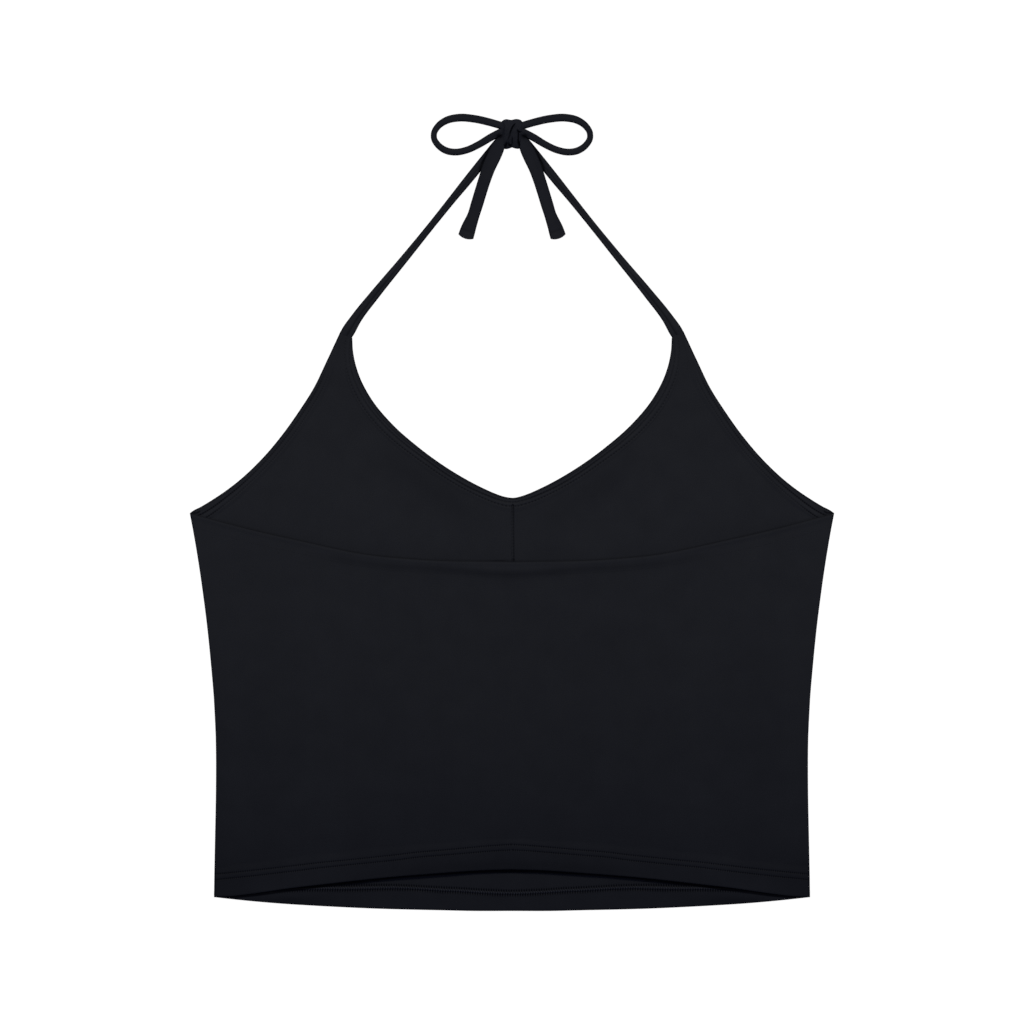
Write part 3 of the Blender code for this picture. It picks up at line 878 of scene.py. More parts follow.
def front_hem_band(name):
    """The front's hem turned up on the inside, ending in a raw edge under the ladder of stitches."""
    path, inward = hem_line(FRONT_HEM, HEM_STEPS["front"], True)
    rows = rows_above(FRONT_HEM, FRONT_STITCH_ROWS, path[:, 0])
    lower, upper = rows[0][:, None], rows[1][:, None]
    middle = (lower + upper) / 2
    bulges = (bell(path[:, 0], -62.0, 8.0) + bell(path[:, 0], 60.0, 9.0))[:, None]

    def relief(distance, s, x, y):
        height = 0.04 + 0.44 * (1 - ramp(distance, middle + 0.3, middle + 0.8))
        height += (0.14 + 0.12 * bulges) * bell(distance, middle, 0.9)
        height += stitched_groove(distance, s, lower, 0.24, 0.5, FRONT_PITCH)
        height += stitched_groove(distance, s + FRONT_LAG, upper, 0.02, 0.5, FRONT_PITCH)
        span = ramp(distance, 0.5, 5.0) * (1 - ramp(distance, lower - 1.5, lower))
        height += 0.10 * unevenness(x, y * 0.3, 17.0, 41) * span
        return np.maximum(height, 0.03)

    def tone(distance, s, x, y):
        # Painted shade on the rolled edge, a painted highlight between the rows, dark needle holes and
        # painted highlights between them, over the painted shadow of the back's hem.
        shade = 0.35 * bell(distance, 0.4, 0.5) - 0.06 * bell(distance, middle, 0.6)
        shade += needle_shade(distance, s, lower, 0.10, 2.3, FRONT_PITCH, 0.74, 0.25)
        shade += needle_shade(distance, s + FRONT_LAG, upper, 0.10, 2.3, FRONT_PITCH, 0.74, 0.25)
        return front_tone(x, y) * np.clip(1 - shade, 0.03, 1.4)

    return edge_band(name, path, inward, rows, FRONT_BAND, front_top, relief, floor_gap, kept_inside,
                     tone, step=0.8)


# ---------------------------------------------------------------- stitches

def thread_run(points, ways, length, radius):
    """Short bits of thread, each a rounded capsule of five rings of six points and two closed
    ends, laid at the points along the ways. Returns points, quads, triangles and coordinates."""
    points = np.asarray(points, float)
    ways = unit(np.asarray(ways, float))
    up = np.array([0.0, 0.0, 1.0])
    across = unit(np.cross(ways, up))
    over = np.cross(across, ways)
    place = np.array([-0.5, -0.36, 0.0, 0.36, 0.5])
    size = np.array([0.45, 0.86, 1.0, 0.86, 0.45])
    arch = np.array([-0.9, -0.25, 0.0, -0.25, -0.9]) * radius
    turn = 2 * np.pi * np.arange(6) / 6
    ring = (np.cos(turn)[None, :, None, None] * across[None, None] +
            0.85 * np.sin(turn)[None, :, None, None] * over[None, None])
    spine = points[None] + place[:, None, None] * length * ways[None] + arch[:, None, None] * over[None]
    body = spine[:, None] + ring * (size * radius)[:, None, None, None]
    body = np.moveaxis(body, 2, 0).reshape(len(points), 30, 3)
    tips = np.stack([spine[0] - 0.25 * radius * ways, spine[-1] + 0.25 * radius * ways], axis=1)
    every = np.concatenate([body, tips], axis=1)
    ring_faces = grid_faces(5, 6, wrap=True)
    k = np.arange(6)
    ends = np.concatenate([
        np.stack([np.full(6, 30), (k + 1) % 6, k], axis=1),
        np.stack([np.full(6, 31), 24 + k, 24 + (k + 1) % 6], axis=1),
    ])
    start = 32 * np.arange(len(points))[:, None, None]
    quads = (ring_faces[None] + start).reshape(-1, 4)
    triangles = (ends[None] + start).reshape(-1, 3)
    uv = np.stack([np.tile(np.concatenate([np.repeat(place * length, 6), [0.0, 0.0]]), len(points)),
                   np.tile(np.concatenate([np.tile(turn, 5), [0.0, 0.0]]), len(points))], axis=1)
    return every.reshape(-1, 3), quads, triangles, uv


def join_runs(name, runs, tone=None):
    """One mesh from several runs of thread, with the tone of each place if there is one."""
    points, quads, triangles, uv = zip(*runs)
    starts = np.cumsum([0] + [len(run) for run in points[:-1]])
    quads, triangles = (np.concatenate([faces + start for faces, start in zip(every, starts)])
                        for every in (quads, triangles))
    points = np.concatenate(points)
    shade = None if tone is None else tone(points[:, 0], points[:, 1])
    return make_mesh(name, points, quads, np.concatenate(uv), triangles=triangles, tone=shade, sharp=80.0)


def row_phase(index, lag, pitch):
    """Where in its pitch a row's first stitch lies: midway, and a lag sooner in the second row."""
    return 0.5 if index == 0 else 0.5 - lag / pitch + 1.0


def row_on(path, inward, distance, pitch, start, end, surface, lift, phase, slant=0.0, mirror=1):
    """Places and ways of the stitches of one row: each pitch along a path, in from it by the
    distance for that length and place, and lifted above the cloth there."""
    along = length_along(path)
    places = np.arange(start + pitch * phase, along[-1] - end, pitch)

    def spot(s):
        base = read_along(path, along, s)
        return base + read_along(inward, along, s) * distance(s, base)[:, None]

    here = spot(places)
    way = unit(spot(places + 0.25 * pitch) - spot(places - 0.25 * pitch))
    if slant:
        way = unit(way + slant * np.stack([-way[:, 1], way[:, 0]], axis=1))
    flip = np.array([mirror, 1.0])
    here, way = here * flip, way * flip
    step = 0.3 * pitch
    middle, ahead, behind = (surface(*(here + way * reach).T) for reach in (0.0, step, -step))
    rise = np.clip((ahead - behind) / (2 * step), -0.6, 0.6)
    return np.column_stack([here, middle + lift]), np.column_stack([way, rise])


THREAD = 0.11                # radius of the sewing thread
LADDER_THREAD = 0.19         # and of the softer thread of the ladder


def bust_stitches(name, side):
    """The two rows of stitches along the neckline and along the armhole of one bust half."""
    neck, arm = even_curve(NECKLINE, BUST_STEPS), even_curve(ARMHOLE, BUST_STEPS)
    edges = (
        (neck, ways_in(neck, False, NECK_START, None, 9.0), NECK_ROWS, NECK_PITCH, NECK_LAG, (2.2, 1.6), 0.8),
        (arm, ways_in(arm, True, ARM_START, None, 7.0), ARM_ROWS, ARM_PITCH, ARM_LAG,
         (6 * ARM_PITCH, 11 * ARM_PITCH), 34.0),
    )
    runs = []
    for path, inward, rows, pitch, lag, starts, end in edges:
        for index in (0, 1):
            points, ways = row_on(
                path, inward, lambda s, base: rows_in(rows, s)[index], pitch, starts[index], end,
                bust_top, 0.10, row_phase(index, lag, pitch), mirror=side)
            runs.append(thread_run(points, ways, 0.50 * pitch, THREAD))
    return join_runs(name, runs)


def back_hem_stitches(name):
    """The two rows of stitches of the back's hem."""
    path, inward = hem_line(BACK_HEM, HEM_ROW_STEPS["back"], False)
    runs = []
    for index in (0, 1):
        points, ways = row_on(
            path, inward, lambda s, base: rows_above(BACK_HEM, BACK_STITCH_ROWS, base[:, 0])[index],
            BACK_PITCH, 1.6, 1.6, back_top, 0.22, row_phase(index, BACK_LAG, BACK_PITCH))
        runs.append(thread_run(points, ways, 0.45 * BACK_PITCH, THREAD))
    return join_runs(name, runs)


def front_hem_stitches(name):
    """The ladder of stitches on the inside of the front's hem: a steep slanted thread at each stitch
    from one row of needle holes to the other, with a painted shadow where the back's hem shades it."""
    path, inward = hem_line(FRONT_HEM, HEM_ROW_STEPS["front"], False)
    points, ways = row_on(
        path, inward, lambda s, base: sum(rows_above(FRONT_HEM, FRONT_STITCH_ROWS, base[:, 0])) / 2,
        FRONT_PITCH, 2.0, 2.0, front_top, 0.74, 0.35, slant=-2.2)
    run = thread_run(points, ways, 1.75, LADDER_THREAD)
    return join_runs(name, [run], lambda x, y: 1 - hem_shadow(x, y))


def centre_seam(name):
    """The seam between the bust halves: the ply that shows at the bottom of the groove, with painted
    shade: a dark row of needle holes, darker towards the V, and a dark spot near its lower end."""
    y = np.linspace(UNDERBUST_HEIGHT - 2.0, V_POINT_HEIGHT - 0.5, 260)
    across = np.array([-1.6, -0.9, -0.5, -0.2, 0.05, 0.3, 0.5, 0.65, 0.8, 0.95, 1.15, 1.4, 1.9, 2.6])
    x = across[None, :] + seam_drift(y)[:, None]
    y = np.broadcast_to(y[:, None], x.shape)
    top = 0.74 + 0.08 * bell(across, -0.3, 0.35) - 0.08 * bell(across, 0.8, 0.3)
    top = top[None, :] + 0.03 * np.sin(y / 0.33)
    hole = needle_holes(y, CENTRE_PITCH)
    tone = 0.97 - (0.48 + 0.24 * hole) * bell(across, 0.8, 0.36)[None, :] - 0.16 * ramp(y, -10.0, 2.0)
    tone -= 0.40 * bell(y, UNDERBUST_HEIGHT + 9.2, 1.3)
    return cloth_sheet(name, np.stack([x, y, top], axis=-1),
                       np.stack([x, y, np.full(x.shape, FLOOR_GAP + 0.03)], axis=-1), tone)


def centre_stitches(name):
    """The fine stitches at the bottom of the centre seam, and the looser ones on its soft side."""
    y = np.arange(UNDERBUST_HEIGHT + 0.5, V_POINT_HEIGHT - 6.0, CENTRE_PITCH)
    shift = seam_drift(y)
    straight = np.stack([0.82 + shift, y, np.full(len(y), 0.64)], axis=1)
    ways = np.tile([0.12, 1.0, 0.0], (len(y), 1))
    loose = np.stack([-0.25 + shift + 0.10 * np.sin(y * 2.1), y + 0.6, np.full(len(y), 0.74)], axis=1)
    loose_ways = np.stack([np.full(len(y), 0.8), 0.6 * np.cos(y * 1.7), np.zeros(len(y))], axis=1)
    runs = [thread_run(straight, ways, 0.7, 0.10), thread_run(loose, loose_ways, 0.9, 0.12)]
    return join_runs(name, runs)


# ---------------------------------------------------------------- ties

WAY_ROUND = 44               # points round a tie
TIE_WALL = 0.45              # thickness of its cloth
STRAP_START = (0.857, 0.515)     # way across a strap where it is sewn to the bust


def blunt(value, power):
    """The size of a sine or cosine raised to a power, with its sign kept: below 1 it squares a round."""
    return np.sign(value) * np.abs(value) ** power


def tie_tube(name, stations, steps, profile, side, shade, first=None, last=None, bulge=0.0):
    """A tie laid along its stations: a real tube, whose outer and inner skins are joined at both
    ends. The profile gives a point of the section, in half widths and thicknesses, for a share of
    the way round and of the way along, with a little cloth relief. The middle of its last ring
    may bulge out along the way. Returns the piece and its length."""
    route = even_curve(stations, steps)
    along = length_along(route)
    way = unit(np.gradient(route[:, :3], axis=0))
    across = np.stack([way[:, 1], -way[:, 0], np.zeros(len(way))], axis=1)
    turned_to = (1 - ramp(along, 0.0, 4.0), ramp(along, along[-1] - 4.0, along[-1]))
    for goal, weight in zip((first, last), turned_to):
        if goal is not None:
            goal = unit(np.array([goal[0], goal[1], 0.0]))
            across = unit(across) * (1 - weight[:, None]) + goal * weight[:, None]
    across = unit(across)
    over = unit(np.cross(across, way))
    over = over * np.sign(over[:, 2:3] + 1e-9)
    turn = 2 * np.pi * np.arange(WAY_ROUND) / WAY_ROUND
    wide, high = profile(turn[None, :], (along / along[-1])[:, None], along[:, None])
    wide = wide * np.ones((len(along), 1))
    outwards = bulge * turned_to[1][:, None] * (1 - wide ** 2)

    def skin(inset):
        half_width = route[:, 3, None] / 2 - inset
        half_thick = route[:, 4, None] / 2 - inset
        centre = route[:, :3] + over * route[:, 4, None] / 2
        return (centre[:, None] + across[:, None] * (half_width * wide)[..., None]
                + way[:, None] * outwards[..., None] + over[:, None] * (half_thick * high)[..., None])

    outer = skin(0.0)
    inner = skin(TIE_WALL)
    rings = np.concatenate([outer, inner[::-1]])
    rows = len(route)
    perimeter = np.sum(np.linalg.norm(np.diff(outer, axis=1, append=outer[:, :1]), axis=2), axis=1)
    round_it = turn[None, :] / (2 * np.pi) * np.mean(perimeter)
    uv = np.stack(np.broadcast_arrays(round_it, along[:, None]), axis=-1)
    uv = np.concatenate([uv, uv[::-1]])
    faces = grid_faces(2 * rows, WAY_ROUND, wrap=True)
    last_row = (2 * rows - 1) * WAY_ROUND
    k = np.arange(WAY_ROUND)
    j = (k + 1) % WAY_ROUND
    closing = np.stack([last_row + k, last_row + j, j, k], axis=1)
    rings = rings.reshape(-1, 3)
    inwards = (1 - np.abs(wide)) * route[:, 3, None] / 2
    tone = shade(outer[..., 0], outer[..., 1], wide, (along / along[-1])[:, None])
    # Painted light on the side facing down the plan, and painted shade along both rims, more on that side.
    lower = -across[:, 1, None] * wide
    tone = tone * (1 + 0.16 * ramp(lower, 0.0, 0.8))
    tone = tone * (1 - (0.56 + 0.36 * ramp(lower, -0.2, 0.6)) * bell(inwards, 0.16, 0.42))
    rings[:, 0] *= side
    piece = make_mesh(name, rings, np.concatenate([faces, closing]), uv, sharp=60.0,
                      tone=np.concatenate([tone, tone[::-1]]))
    return piece, float(along[-1])


def strap_profile(turn, share, along):
    """A folded strip: a flattened round whose upper face has a groove along the middle, deepest
    by the bust, between two soft lobes."""
    wide = blunt(np.cos(turn), 0.85)
    high = blunt(np.sin(turn), 0.60)
    place = wide + 0.05 * np.sin(share * 9.0)
    groove = 0.42 * bell(place, -0.12, 0.13) * (1 - 0.35 * share) * (high > 0)
    lobes = 0.10 * np.sin(along / 6.1 + 3.0 * wide) * (high > 0)
    return wide, high * (1 - groove + lobes)


def loop_profile(turn, share, along):
    """A rolled strip: a flattened round with a shallow fold line off its middle."""
    wide = blunt(np.cos(turn), 0.9)
    high = blunt(np.sin(turn), 0.9)
    fold = 0.16 * bell(wide, -0.45 + 0.25 * np.sin(share * 7.0), 0.14) * (high > 0)
    swell = 0.05 * np.sin(along / 5.3 + 2.0 * wide)
    return wide, high * (1 - fold + swell * (high > 0))


def end_profile(turn, share, along):
    """A flat strip with thin rounded edges and a soft hollow between them."""
    wide = blunt(np.cos(turn), 0.55)
    high = blunt(np.sin(turn), 0.45)
    hollow = 0.34 * bell(wide, 0.0, 0.55) * (high > 0)
    rim = 0.16 * bell(np.abs(wide), 0.84, 0.10) * (high > 0)
    pressed = 0.18 * bell(share, TIE_END_PRESSED, 0.011) * (high > 0)
    return wide, high * (1 - hollow + rim - pressed + 0.05 * np.sin(along / 3.7 + wide) * (high > 0))


# The outer border of a hanging end where it crosses the strap, on the right side
END_BORDER = [
    (9.7, 242.6), (12.8, 239.4), (15.2, 236.2), (16.8, 232.2), (18.2, 229.2), (20.4, 224.0), (21.0, 220.1),
]


def pockets(x, y):
    """Painted shade in the hollows beside the knot, where limbs of the bow meet: smooth dark spots."""
    a = np.abs(x)
    low = bell(np.hypot((a - 8.2) * 0.75, y - 244.4), 0.0, 1.40)
    high = bell(np.hypot(a - 8.5, y - 249.5), 0.0, 0.9)
    return np.minimum(1.45 * low + 0.6 * high, 0.97)


def brighten_up(y):
    """Painted light: the bow is a little lighter towards its top."""
    return 1 + 0.16 * ramp(y, 205.0, 250.0)


def strap_tone(x, y, wide, share):
    """Tone of a strap: painted shade in the groove along its middle and at the stitches of the seam by
    the bust, the painted shadow of the end that crosses it and painted shade in the hollows by the
    knot; it is darker by the bust, and painted light makes it lighter overall and towards the top."""
    groove = 0.74 * bell(wide, -0.14 - 0.05 * np.sin(share * 9.0), 0.105) * (1 - 0.3 * share)
    gap, _ = distance_to(END_BORDER, np.abs(x), y)
    beside = np.minimum(1.3 * bell(gap, 0.25, 0.8), 0.97) * ramp(y, 217.0, 221.0)
    sewn = (0.16 + 0.16 * np.cos(wide * 16.0)) * bell(share, 0.016, 0.0035)
    # darker by the bust, with painted light that makes it lighter overall and towards the top
    cloth = (1.10 - 0.20 * (1 - ramp(share, 0.05, 0.40))) * brighten_up(y)
    return cloth * (1 - groove) * (1 - beside) * (1 - pockets(x, y)) * (1 - sewn)


def loop_tone(x, y, wide, share):
    """Tone of a loop of the bow: painted light, lighter overall and towards its top, and painted shade
    in the hollows beside the knot.
    """
    return 1.10 * brighten_up(y) * (1 - pockets(x, y))


def end_tone(x, y, wide, share):
    """Tone of a hanging end: painted light on two stretches and towards its top, painted shade in the
    hollows by the knot, and a faint painted shade along the pressed line near its cut.
    """
    lighter = 1.0 + 0.24 * bell(y, 208.0, 11.0) + 0.10 * bell(y, 234.0, 9.0)
    return lighter * brighten_up(y) * (1 - pockets(x, y)) * (1 - 0.22 * bell(share, TIE_END_PRESSED, 0.009))


KNOT_OUTLINE = [
    (-4.7, 255.5), (-0.4, 255.2), (3.1, 255.8), (5.8, 255.0), (7.3, 252.9), (7.6, 248.3), (7.0, 245.6),
    (6.6, 241.0), (6.3, 237.9), (5.2, 236.7), (1.6, 236.7), (0.0, 237.2), (-1.4, 236.7), (-4.8, 236.3),
    (-6.3, 237.1), (-6.7, 241.0), (-7.3, 247.0), (-7.7, 251.5), (-7.0, 253.9),
]
KNOT_MIDDLE = (0.0, 246.0)
KNOT_HALF = 2.6              # height at which the knot is widest
KNOT_UNDERSIDE = 0.35
# Creases between the wraps of the knot: a bent line, its depth, half its width. The depth also
# sets how dark the painted shade in the crease is
KNOT_CREASES = [
    ([(2.2, 252.6), (0.33, 250.1), (-0.9, 247.1), (-1.3, 245.6)], 1.3, 0.36),
    ([(-1.3, 245.6), (-1.5, 244.4), (-2.7, 241.6)], 0.5, 0.40),
    ([(3.5, 248.6), (3.8, 247.3), (4.25, 245.5), (4.0, 241.3), (5.5, 237.5)], 1.1, 0.38),
    ([(3.8, 247.7), (4.8, 246.9), (7.2, 246.3)], 1.3, 0.40),
    ([(0.15, 243.6), (0.15, 239.2), (-1.0, 238.1), (-2.2, 238.6)], 0.7, 0.32),
    ([(4.1, 241.2), (4.9, 238.5), (5.3, 236.8)], 1.5, 0.75),
    ([(-3.1, 240.4), (-4.2, 238.2), (-5.2, 236.6)], 1.5, 0.75),
    ([(-2.4, 240.2), (-1.7, 238.4), (-0.9, 238.3)], 1.4, 0.5),
    ([(-5.6, 254.2), (-5.2, 250.0), (-5.6, 245.0)], 0.25, 0.5),
]


def knot_outline(angle):
    """Distance from the knot's middle to its outline in each direction."""
    spots = np.array(KNOT_OUTLINE) - np.array(KNOT_MIDDLE)
    turn = np.arctan2(spots[:, 1], spots[:, 0])
    order = np.argsort(turn)
    turn, far = turn[order], np.hypot(spots[order, 0], spots[order, 1])
    turn = np.concatenate([turn[-3:] - 2 * np.pi, turn, turn[:3] + 2 * np.pi])
    far = np.concatenate([far[-3:], far, far[:3]])
    return cubic(turn, far, angle)


def knot(name):
    """The knot: a domed cushion on rings round its middle, cut by the creases between its wraps.
    Its height over the plan is a flattened dome less a smooth hollow for each crease. Painted shade
    darkens its rim and each crease, and painted light makes it lighter overall."""
    rings = np.concatenate([np.linspace(0.03, 0.9, 46), 1 - 0.1 * (1 - np.linspace(0.1, 1.0, 9)) ** 2])
    angle = np.linspace(-np.pi, np.pi, 181)[:-1]
    far = knot_outline(angle)
    x = KNOT_MIDDLE[0] + rings[:, None] * far[None, :] * np.cos(angle)[None, :]
    y = KNOT_MIDDLE[1] + rings[:, None] * far[None, :] * np.sin(angle)[None, :]
    dome = (1 - rings[:, None] ** 2.6) ** 0.5 * np.ones_like(x)
    crown = 6.4 - 0.20 * ((y - 247.5) / 4.0) ** 2
    top = KNOT_HALF + (crown - KNOT_HALF) * dome
    shade = 0.55 * bell((1 - rings[:, None]) * far[None, :], 0.25, 0.5)
    for line, depth, width in KNOT_CREASES:
        gap, place = distance_to(line, x, y)
        total = length_along(np.array(line))[-1]
        fade = ramp(place, -0.5, 1.2) * (1 - 0.4 * ramp(place, total - 1.5, total + 0.2))
        shade += np.minimum(0.25 + 0.5 * depth, 0.97) * bell(gap, 0.0, 1.15 * width) * fade
        top -= depth * (0.55 + 0.45 * dome) * bell(gap, 0.0, width) * fade
        top += 0.16 * depth * bell(gap, 2.3 * width, 1.1 * width) * fade * dome
    top += 0.10 * unevenness(x, y, 5.0, 51) * dome
    low = np.maximum(KNOT_HALF - 2.2 * dome, KNOT_UNDERSIDE)
    rows, columns = x.shape
    upper = np.stack([x, y, top], axis=-1).reshape(-1, 3)
    lower = np.stack([x, y, low], axis=-1)[:-1].reshape(-1, 3)
    poles = [[*KNOT_MIDDLE, float(top[0].mean())], [*KNOT_MIDDLE, KNOT_UNDERSIDE]]
    points = np.concatenate([upper, lower, poles])
    rim, first_low, last_low = (rows - 1) * columns, rows * columns, (2 * rows - 2) * columns
    k = np.arange(columns)
    j = (k + 1) % columns
    quads = np.concatenate([
        grid_faces(rows, columns, wrap=True),
        grid_faces(rows - 1, columns, first_low, wrap=True)[:, ::-1],
        np.stack([rim + k, rim + j, last_low + j, last_low + k], axis=1),
    ])
    top_pole = np.full(columns, len(points) - 2)
    triangles = np.concatenate([
        np.stack([top_pole, k, j], axis=1),
        np.stack([top_pole + 1, first_low + j, first_low + k], axis=1),
    ])
    tone = 1.32 * np.clip(1 - shade, 0.05, 1.2)
    tones = np.concatenate([tone.ravel(), tone[:-1].ravel(), [float(tone[0].mean()), 1.0]])
    return make_mesh(name, points, quads, points[:, :2], triangles=triangles, sharp=80.0, tone=tones)


# ---------------------------------------------------------------- materials

class Wire:
    """A shader socket that takes part in sums: every operator adds a Math node."""

    def __init__(self, shader, socket):
        self.shader = shader
        self.socket = socket

    def _math(self, operation, *values):
        return self.shader.node("ShaderNodeMath", {"operation": operation}, *values)

    def __add__(self, other):
        return self._math("ADD", self, other)

    def __radd__(self, other):
        return self._math("ADD", other, self)

    def __sub__(self, other):
        return self._math("SUBTRACT", self, other)

    def __rsub__(self, other):
        return self._math("SUBTRACT", other, self)

    def __mul__(self, other):
        return self._math("MULTIPLY", self, other)

    def __rmul__(self, other):
        return self._math("MULTIPLY", other, self)

    def abs(self):
        return self._math("ABSOLUTE", self)

    def fraction(self):
        return self._math("FRACT", self)

    def cosine(self):
        return self._math("COSINE", self)


class Shader:
    """A material's node tree, written as expressions."""

    def __init__(self, name):
        self.material = bpy.data.materials.new(name)
        self.material.use_nodes = True
        self.tree = self.material.node_tree
        self.tree.nodes.clear()

    def node(self, kind, settings=None, *values, output=0, **named):
        """Adds a node: its settings first, then its sockets by place or by name, each a number, a
        colour or another node's socket. Gives back the wanted output."""
        made = self.tree.nodes.new(kind)
        for key, value in (settings or {}).items():
            setattr(made, key, value)
        pairs = list(zip(made.inputs, values))
        pairs += [(made.inputs[key.replace("_", " ")], value) for key, value in named.items()]
        for socket, value in pairs:
            if isinstance(value, Wire):
                self.tree.links.new(value.socket, socket)
            else:
                socket.default_value = value
        return Wire(self, made.outputs[output])

    def tone(self):
        """The tone that the mesh carries, mostly painted shade and light."""
        return self.node("ShaderNodeAttribute", {"attribute_name": "tone"}, output=2)

    def finish(self, surface):
        """Puts a shader on the material's output."""
        end = self.tree.nodes.new("ShaderNodeOutputMaterial")
        self.tree.links.new(surface.socket, end.inputs["Surface"])
        return self.material


def split(shader, vector):
    """The first two parts of a vector."""
    made = shader.node("ShaderNodeSeparateXYZ", None, vector)
    return [Wire(shader, out) for out in made.socket.node.outputs[:2]]


def blend(shader, factor, first, second):
    """A blend of two colours."""
    made = shader.tree.nodes.new("ShaderNodeMix")
    made.data_type = "RGBA"
    for name, value in (("Factor", factor), ("A", first), ("B", second)):
        kind = "VALUE" if name == "Factor" else "RGBA"
        socket = next(s for s in made.inputs if s.name == name and s.type == kind)
        if isinstance(value, Wire):
            shader.tree.links.new(value.socket, socket)
        else:
            socket.default_value = value
    return Wire(shader, next(s for s in made.outputs if s.type == "RGBA"))


WALE = 0.00045               # width of one column of knit stitches, in metres
COURSE = 0.00032             # height of one row of them
TWIST = 0.00035              # length of one turn of the sewing thread
SHADOW = (0.0001, 0.0003, 0.0022)      # painted shadow colour, which painted shade blends the dye towards


def jersey(name, dye, grain, ribbing, roughness):
    """Fine black stretch jersey.

    The knit is a bump on the cloth coordinate: each wale is two legs, half a cosine each, and
    each leg is cut into courses by a cosine whose phase leans to the wale's middle, which draws
    the rows of Vs. The dye has faint clouds, and the tone attribute carries the rest, mostly
    painted shade and light.
    """
    shader = Shader(name)
    uv = shader.node("ShaderNodeUVMap", {"uv_map": "cloth"})
    x, y = split(shader, uv)
    wale = x * (1.0 / WALE)
    course = y * (1.0 / COURSE)
    lean = (wale.fraction() - 0.5).abs()
    legs = 0.5 - 0.5 * (wale * (4 * np.pi)).cosine()
    loops = 0.5 + 0.5 * ((course + lean * 1.1) * (2 * np.pi)).cosine()
    knit = legs * (0.55 + 0.45 * loops)
    noise = {"noise_dimensions": "2D"}
    clouds = shader.node("ShaderNodeTexNoise", noise, Vector=uv, Scale=55.0, Detail=3.0, Roughness=0.55)
    fuzz = shader.node("ShaderNodeTexNoise", noise, Vector=uv, Scale=1500.0, Detail=2.0, Roughness=0.6)
    ribs = (1.0 - 0.5 * ribbing) + ribbing * legs
    flecks = (1.0 - 0.5 * grain) + grain * fuzz
    shade = ribs * (0.88 + 0.24 * clouds) * flecks * shader.tone()
    light = tuple(2 * full - dark for full, dark in zip(dye, SHADOW))
    colour = blend(shader, 0.5 * shade, SHADOW + (1.0,), light + (1.0,))
    relief = knit + 0.35 * fuzz
    normal = shader.node("ShaderNodeBump", None, Strength=0.55, Distance=0.00005, Height=relief)
    surface = shader.node(
        "ShaderNodeBsdfPrincipled", None, Base_Color=colour, Roughness=roughness, Normal=normal)
    made = surface.socket.node
    made.inputs["Specular IOR Level"].default_value = 0.06
    made.inputs["Sheen Weight"].default_value = 0.008
    made.inputs["Sheen Roughness"].default_value = 0.5
    made.inputs["Sheen Tint"].default_value = (0.75, 0.8, 1.0, 1.0)
    return shader.finish(surface)


def sewing_thread(name, strength):
    """Twisted polyester thread: fine slanted ridges as a bump, a touch darker than the cloth, and
    blended to the painted shadow colour where its tone paints shade on it.
    """
    shader = Shader(name)
    uv = shader.node("ShaderNodeUVMap", {"uv_map": "cloth"})
    x, y = split(shader, uv)
    twist = 0.5 + 0.5 * (x * (2 * np.pi / TWIST) + y * 2000.0).cosine()
    low = tuple(part * strength for part in (0.0044, 0.0048, 0.0070)) + (1.0,)
    high = tuple(part * strength for part in (0.0088, 0.0095, 0.0132)) + (1.0,)
    lit = blend(shader, 0.3 + 0.7 * twist, low, high)
    colour = blend(shader, shader.tone(), SHADOW + (1.0,), lit)
    normal = shader.node("ShaderNodeBump", None, Strength=0.4, Distance=0.00003, Height=twist)
    surface = shader.node("ShaderNodeBsdfPrincipled", None, Base_Color=colour, Roughness=0.5, Normal=normal)
    surface.socket.node.inputs["Specular IOR Level"].default_value = 0.03
    return shader.finish(surface)


def floor_material(name):
    """A plain white table, lit from below, so it glows evenly and casts no glare as a lamp would."""
    shader = Shader(name)
    surface = shader.node(
        "ShaderNodeBsdfPrincipled", None, Base_Color=(0.06, 0.06, 0.06, 1.0), Roughness=0.9)
    made = surface.socket.node
    made.inputs["Specular IOR Level"].default_value = 0.0
    made.inputs["Emission Color"].default_value = (1.0, 1.0, 1.0, 1.0)
    made.inputs["Emission Strength"].default_value = FLOOR_GLOW
    shader.material.cycles.emission_sampling = "NONE"
    return shader.finish(surface)


# ---------------------------------------------------------------- the pieces

def finish_piece(piece, material, slot_name, *nodes):
    """Gives a piece its material and its body, and hides the solids that it stands for; its slot name is not
    used.
    """
    piece.data.materials.append(material)
    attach(piece, "root")
    if nodes:
        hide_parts(*nodes)
    return piece


panel_cloth = jersey("panel_jersey_black", (0.0116, 0.0126, 0.0172), 0.5, 0.40, 0.62)
tie_cloth = jersey("tie_jersey_black", (0.0130, 0.0141, 0.0193), 0.20, 0.20, 0.60)
thread = sewing_thread("sewing_thread_black", 1.3)
ladder_thread = sewing_thread("overlocking_thread_black", 5.2)

SIDES = (("left", -1), ("right", 1))

groups = {}
for word, side in SIDES:
    half = finish_piece(bust_half(f"bust_{word}", side), panel_cloth, "panel_jersey", f"front_bust_{word}")
    neck = finish_piece(neckline_band(f"neckline_edge_{word}", side), panel_cloth, "panel_jersey")
    arm = finish_piece(armhole_band(f"armhole_edge_{word}", side), panel_cloth, "panel_jersey")
    sewn = finish_piece(bust_stitches(f"bust_stitches_{word}", side), thread, "panel_jersey")
    groups[word] = (half, neck, arm, sewn)
seam = finish_piece(centre_seam("centre_seam"), panel_cloth, "panel_jersey")
seam_stitches = finish_piece(centre_stitches("centre_seam_stitches"), thread, "panel_jersey")

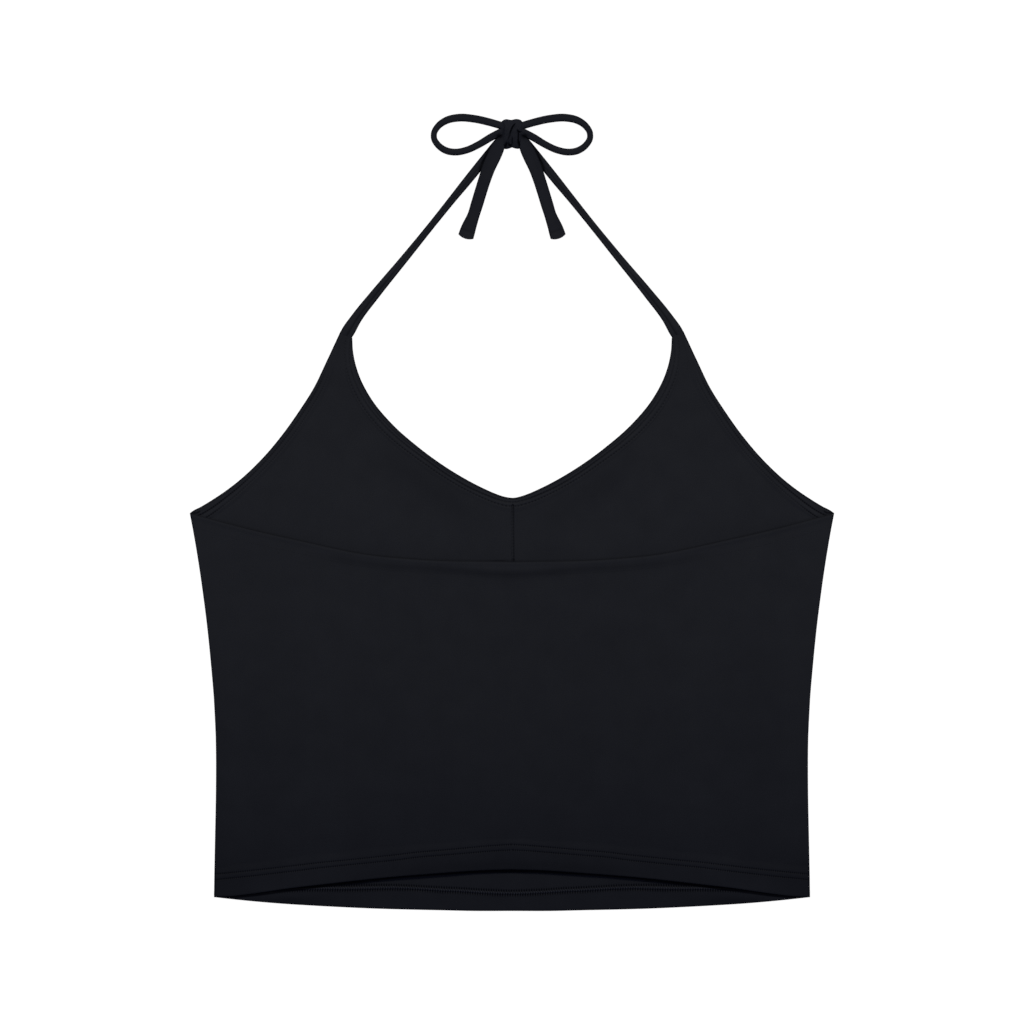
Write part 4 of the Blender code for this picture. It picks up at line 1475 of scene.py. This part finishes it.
# Rows of a panel's mesh as shares of its height: start and end of a run, and how many
rows_front, rows_back = (
    np.unique(np.concatenate([np.linspace(*run) for run in runs]))
    for runs in (((0.0, 0.08, 8), (0.08, 0.15, 28), (0.15, 1.0, 26)),
                 ((0.0, 0.1, 8), (0.1, 0.84, 46), (0.84, 1.0, 34))))
front = finish_piece(
    body_panel(
        "front_lower", lambda share: crossing_height(FRONT_HEM, share) + 0.5,
        lambda share: underbust_height(share * HALF_AT_UNDERARM) + 1.0, rows_front, front_top,
        front_tone, False),
    panel_cloth, "panel_jersey", "front_body")
front_hem = finish_piece(front_hem_band("front_hem"), panel_cloth, "panel_jersey")
front_sewn = finish_piece(front_hem_stitches("front_hem_stitches"), ladder_thread, "panel_jersey")

back = finish_piece(
    body_panel(
        "back", lambda share: crossing_height(BACK_HEM, share) + 0.5,
        lambda share: crossing_height(BACK_TOP_EDGE, share) - 0.5, rows_back, back_top, back_tone, True),
    panel_cloth, "panel_jersey", "back_panel")
back_edge = finish_piece(back_edge_band("back_top_edge"), panel_cloth, "panel_jersey")
back_hem = finish_piece(back_hem_band("back_hem"), panel_cloth, "panel_jersey")
back_sewn = finish_piece(back_hem_stitches("back_hem_stitches"), thread, "panel_jersey")

ties = []
for word, side in SIDES:
    strap = tie_tube(f"strap_{word}", NECK_STRAP, 176, strap_profile, side, strap_tone, first=STRAP_START)
    loop = tie_tube(f"loop_{word}", BOW_LOOP, 120, loop_profile, side, loop_tone)
    end = tie_tube(f"tie_end_{word}_cloth", TIE_END, 110, end_profile, side, end_tone, first=KNOT_SIDE,
                   last=TIE_END_CUT, bulge=TIE_END_BULGE)
    # Each tie, its solid, and how wide its strip is before it is folded, in metres
    made = ((strap, "neck_strap", 0.012), (loop, "bow_loop", 0.010), (end, "tie_end", 0.016))
    for (piece, length), node, around in made:
        finish_piece(piece, tie_cloth, "tie_jersey", f"{node}_{word}")
        ties.append((piece, around, length))
bow = finish_piece(knot("knot_wraps"), tie_cloth, "tie_jersey", "bow_knot")


# ---------------------------------------------------------------- the ties' lengths in metres, worked out and not kept

for word, (half, neck, arm, sewn) in groups.items():
    others = [neck, arm, sewn] + ([seam, seam_stitches] if word == "right" else [])
for piece, around, length in ties:
    round(length * MM, 4)

# ---------------------------------------------------------------- floor, light and camera

floor_mesh = bpy.data.meshes.new("floor")
floor_corners = [(-FLOOR, -FLOOR, 0.0), (FLOOR, -FLOOR, 0.0), (FLOOR, FLOOR, 0.0), (-FLOOR, FLOOR, 0.0)]
floor_mesh.from_pydata(floor_corners, [], [(0, 1, 2, 3)])
floor = bpy.data.objects.new("floor", floor_mesh)
bpy.context.collection.objects.link(floor)
floor.data.materials.append(floor_material("table_white"))
floor.visible_glossy = False        # no glare of the bright table on the cloth

world = bpy.data.worlds.new("studio")
bpy.context.scene.world = world
world.use_nodes = True
sky = world.node_tree.nodes["Background"].inputs
sky["Color"].default_value = WORLD_COLOUR + (1.0,)
sky["Strength"].default_value = WORLD_LIGHT

key = bpy.data.lights.new("key_softbox", "AREA")
key.shape = "RECTANGLE"
key.size, key.size_y = KEY_SIZE
key.energy = KEY_WATTS
key.color = KEY_COLOUR
key.spread = np.radians(KEY_SPREAD)
key_holder = bpy.data.objects.new("key_softbox", key)
bpy.context.collection.objects.link(key_holder)
key_holder.location = KEY_PLACE
key_holder.rotation_euler = (-Vector(KEY_PLACE)).to_track_quat("-Z", "Y").to_euler()

camera_data = bpy.data.cameras.new("camera")
camera_data.sensor_width = 36.0
camera_data.lens = CAMERA_LENS
camera_data.clip_end = 20.0
camera = bpy.data.objects.new("camera", camera_data)
bpy.context.collection.objects.link(camera)
camera.location = CAMERA_PLACE
bpy.context.scene.camera = camera
bpy.context.scene.view_settings.view_transform = "Standard"
bpy.context.scene.cycles.use_denoising = False     # it would smear the knit and the stitches
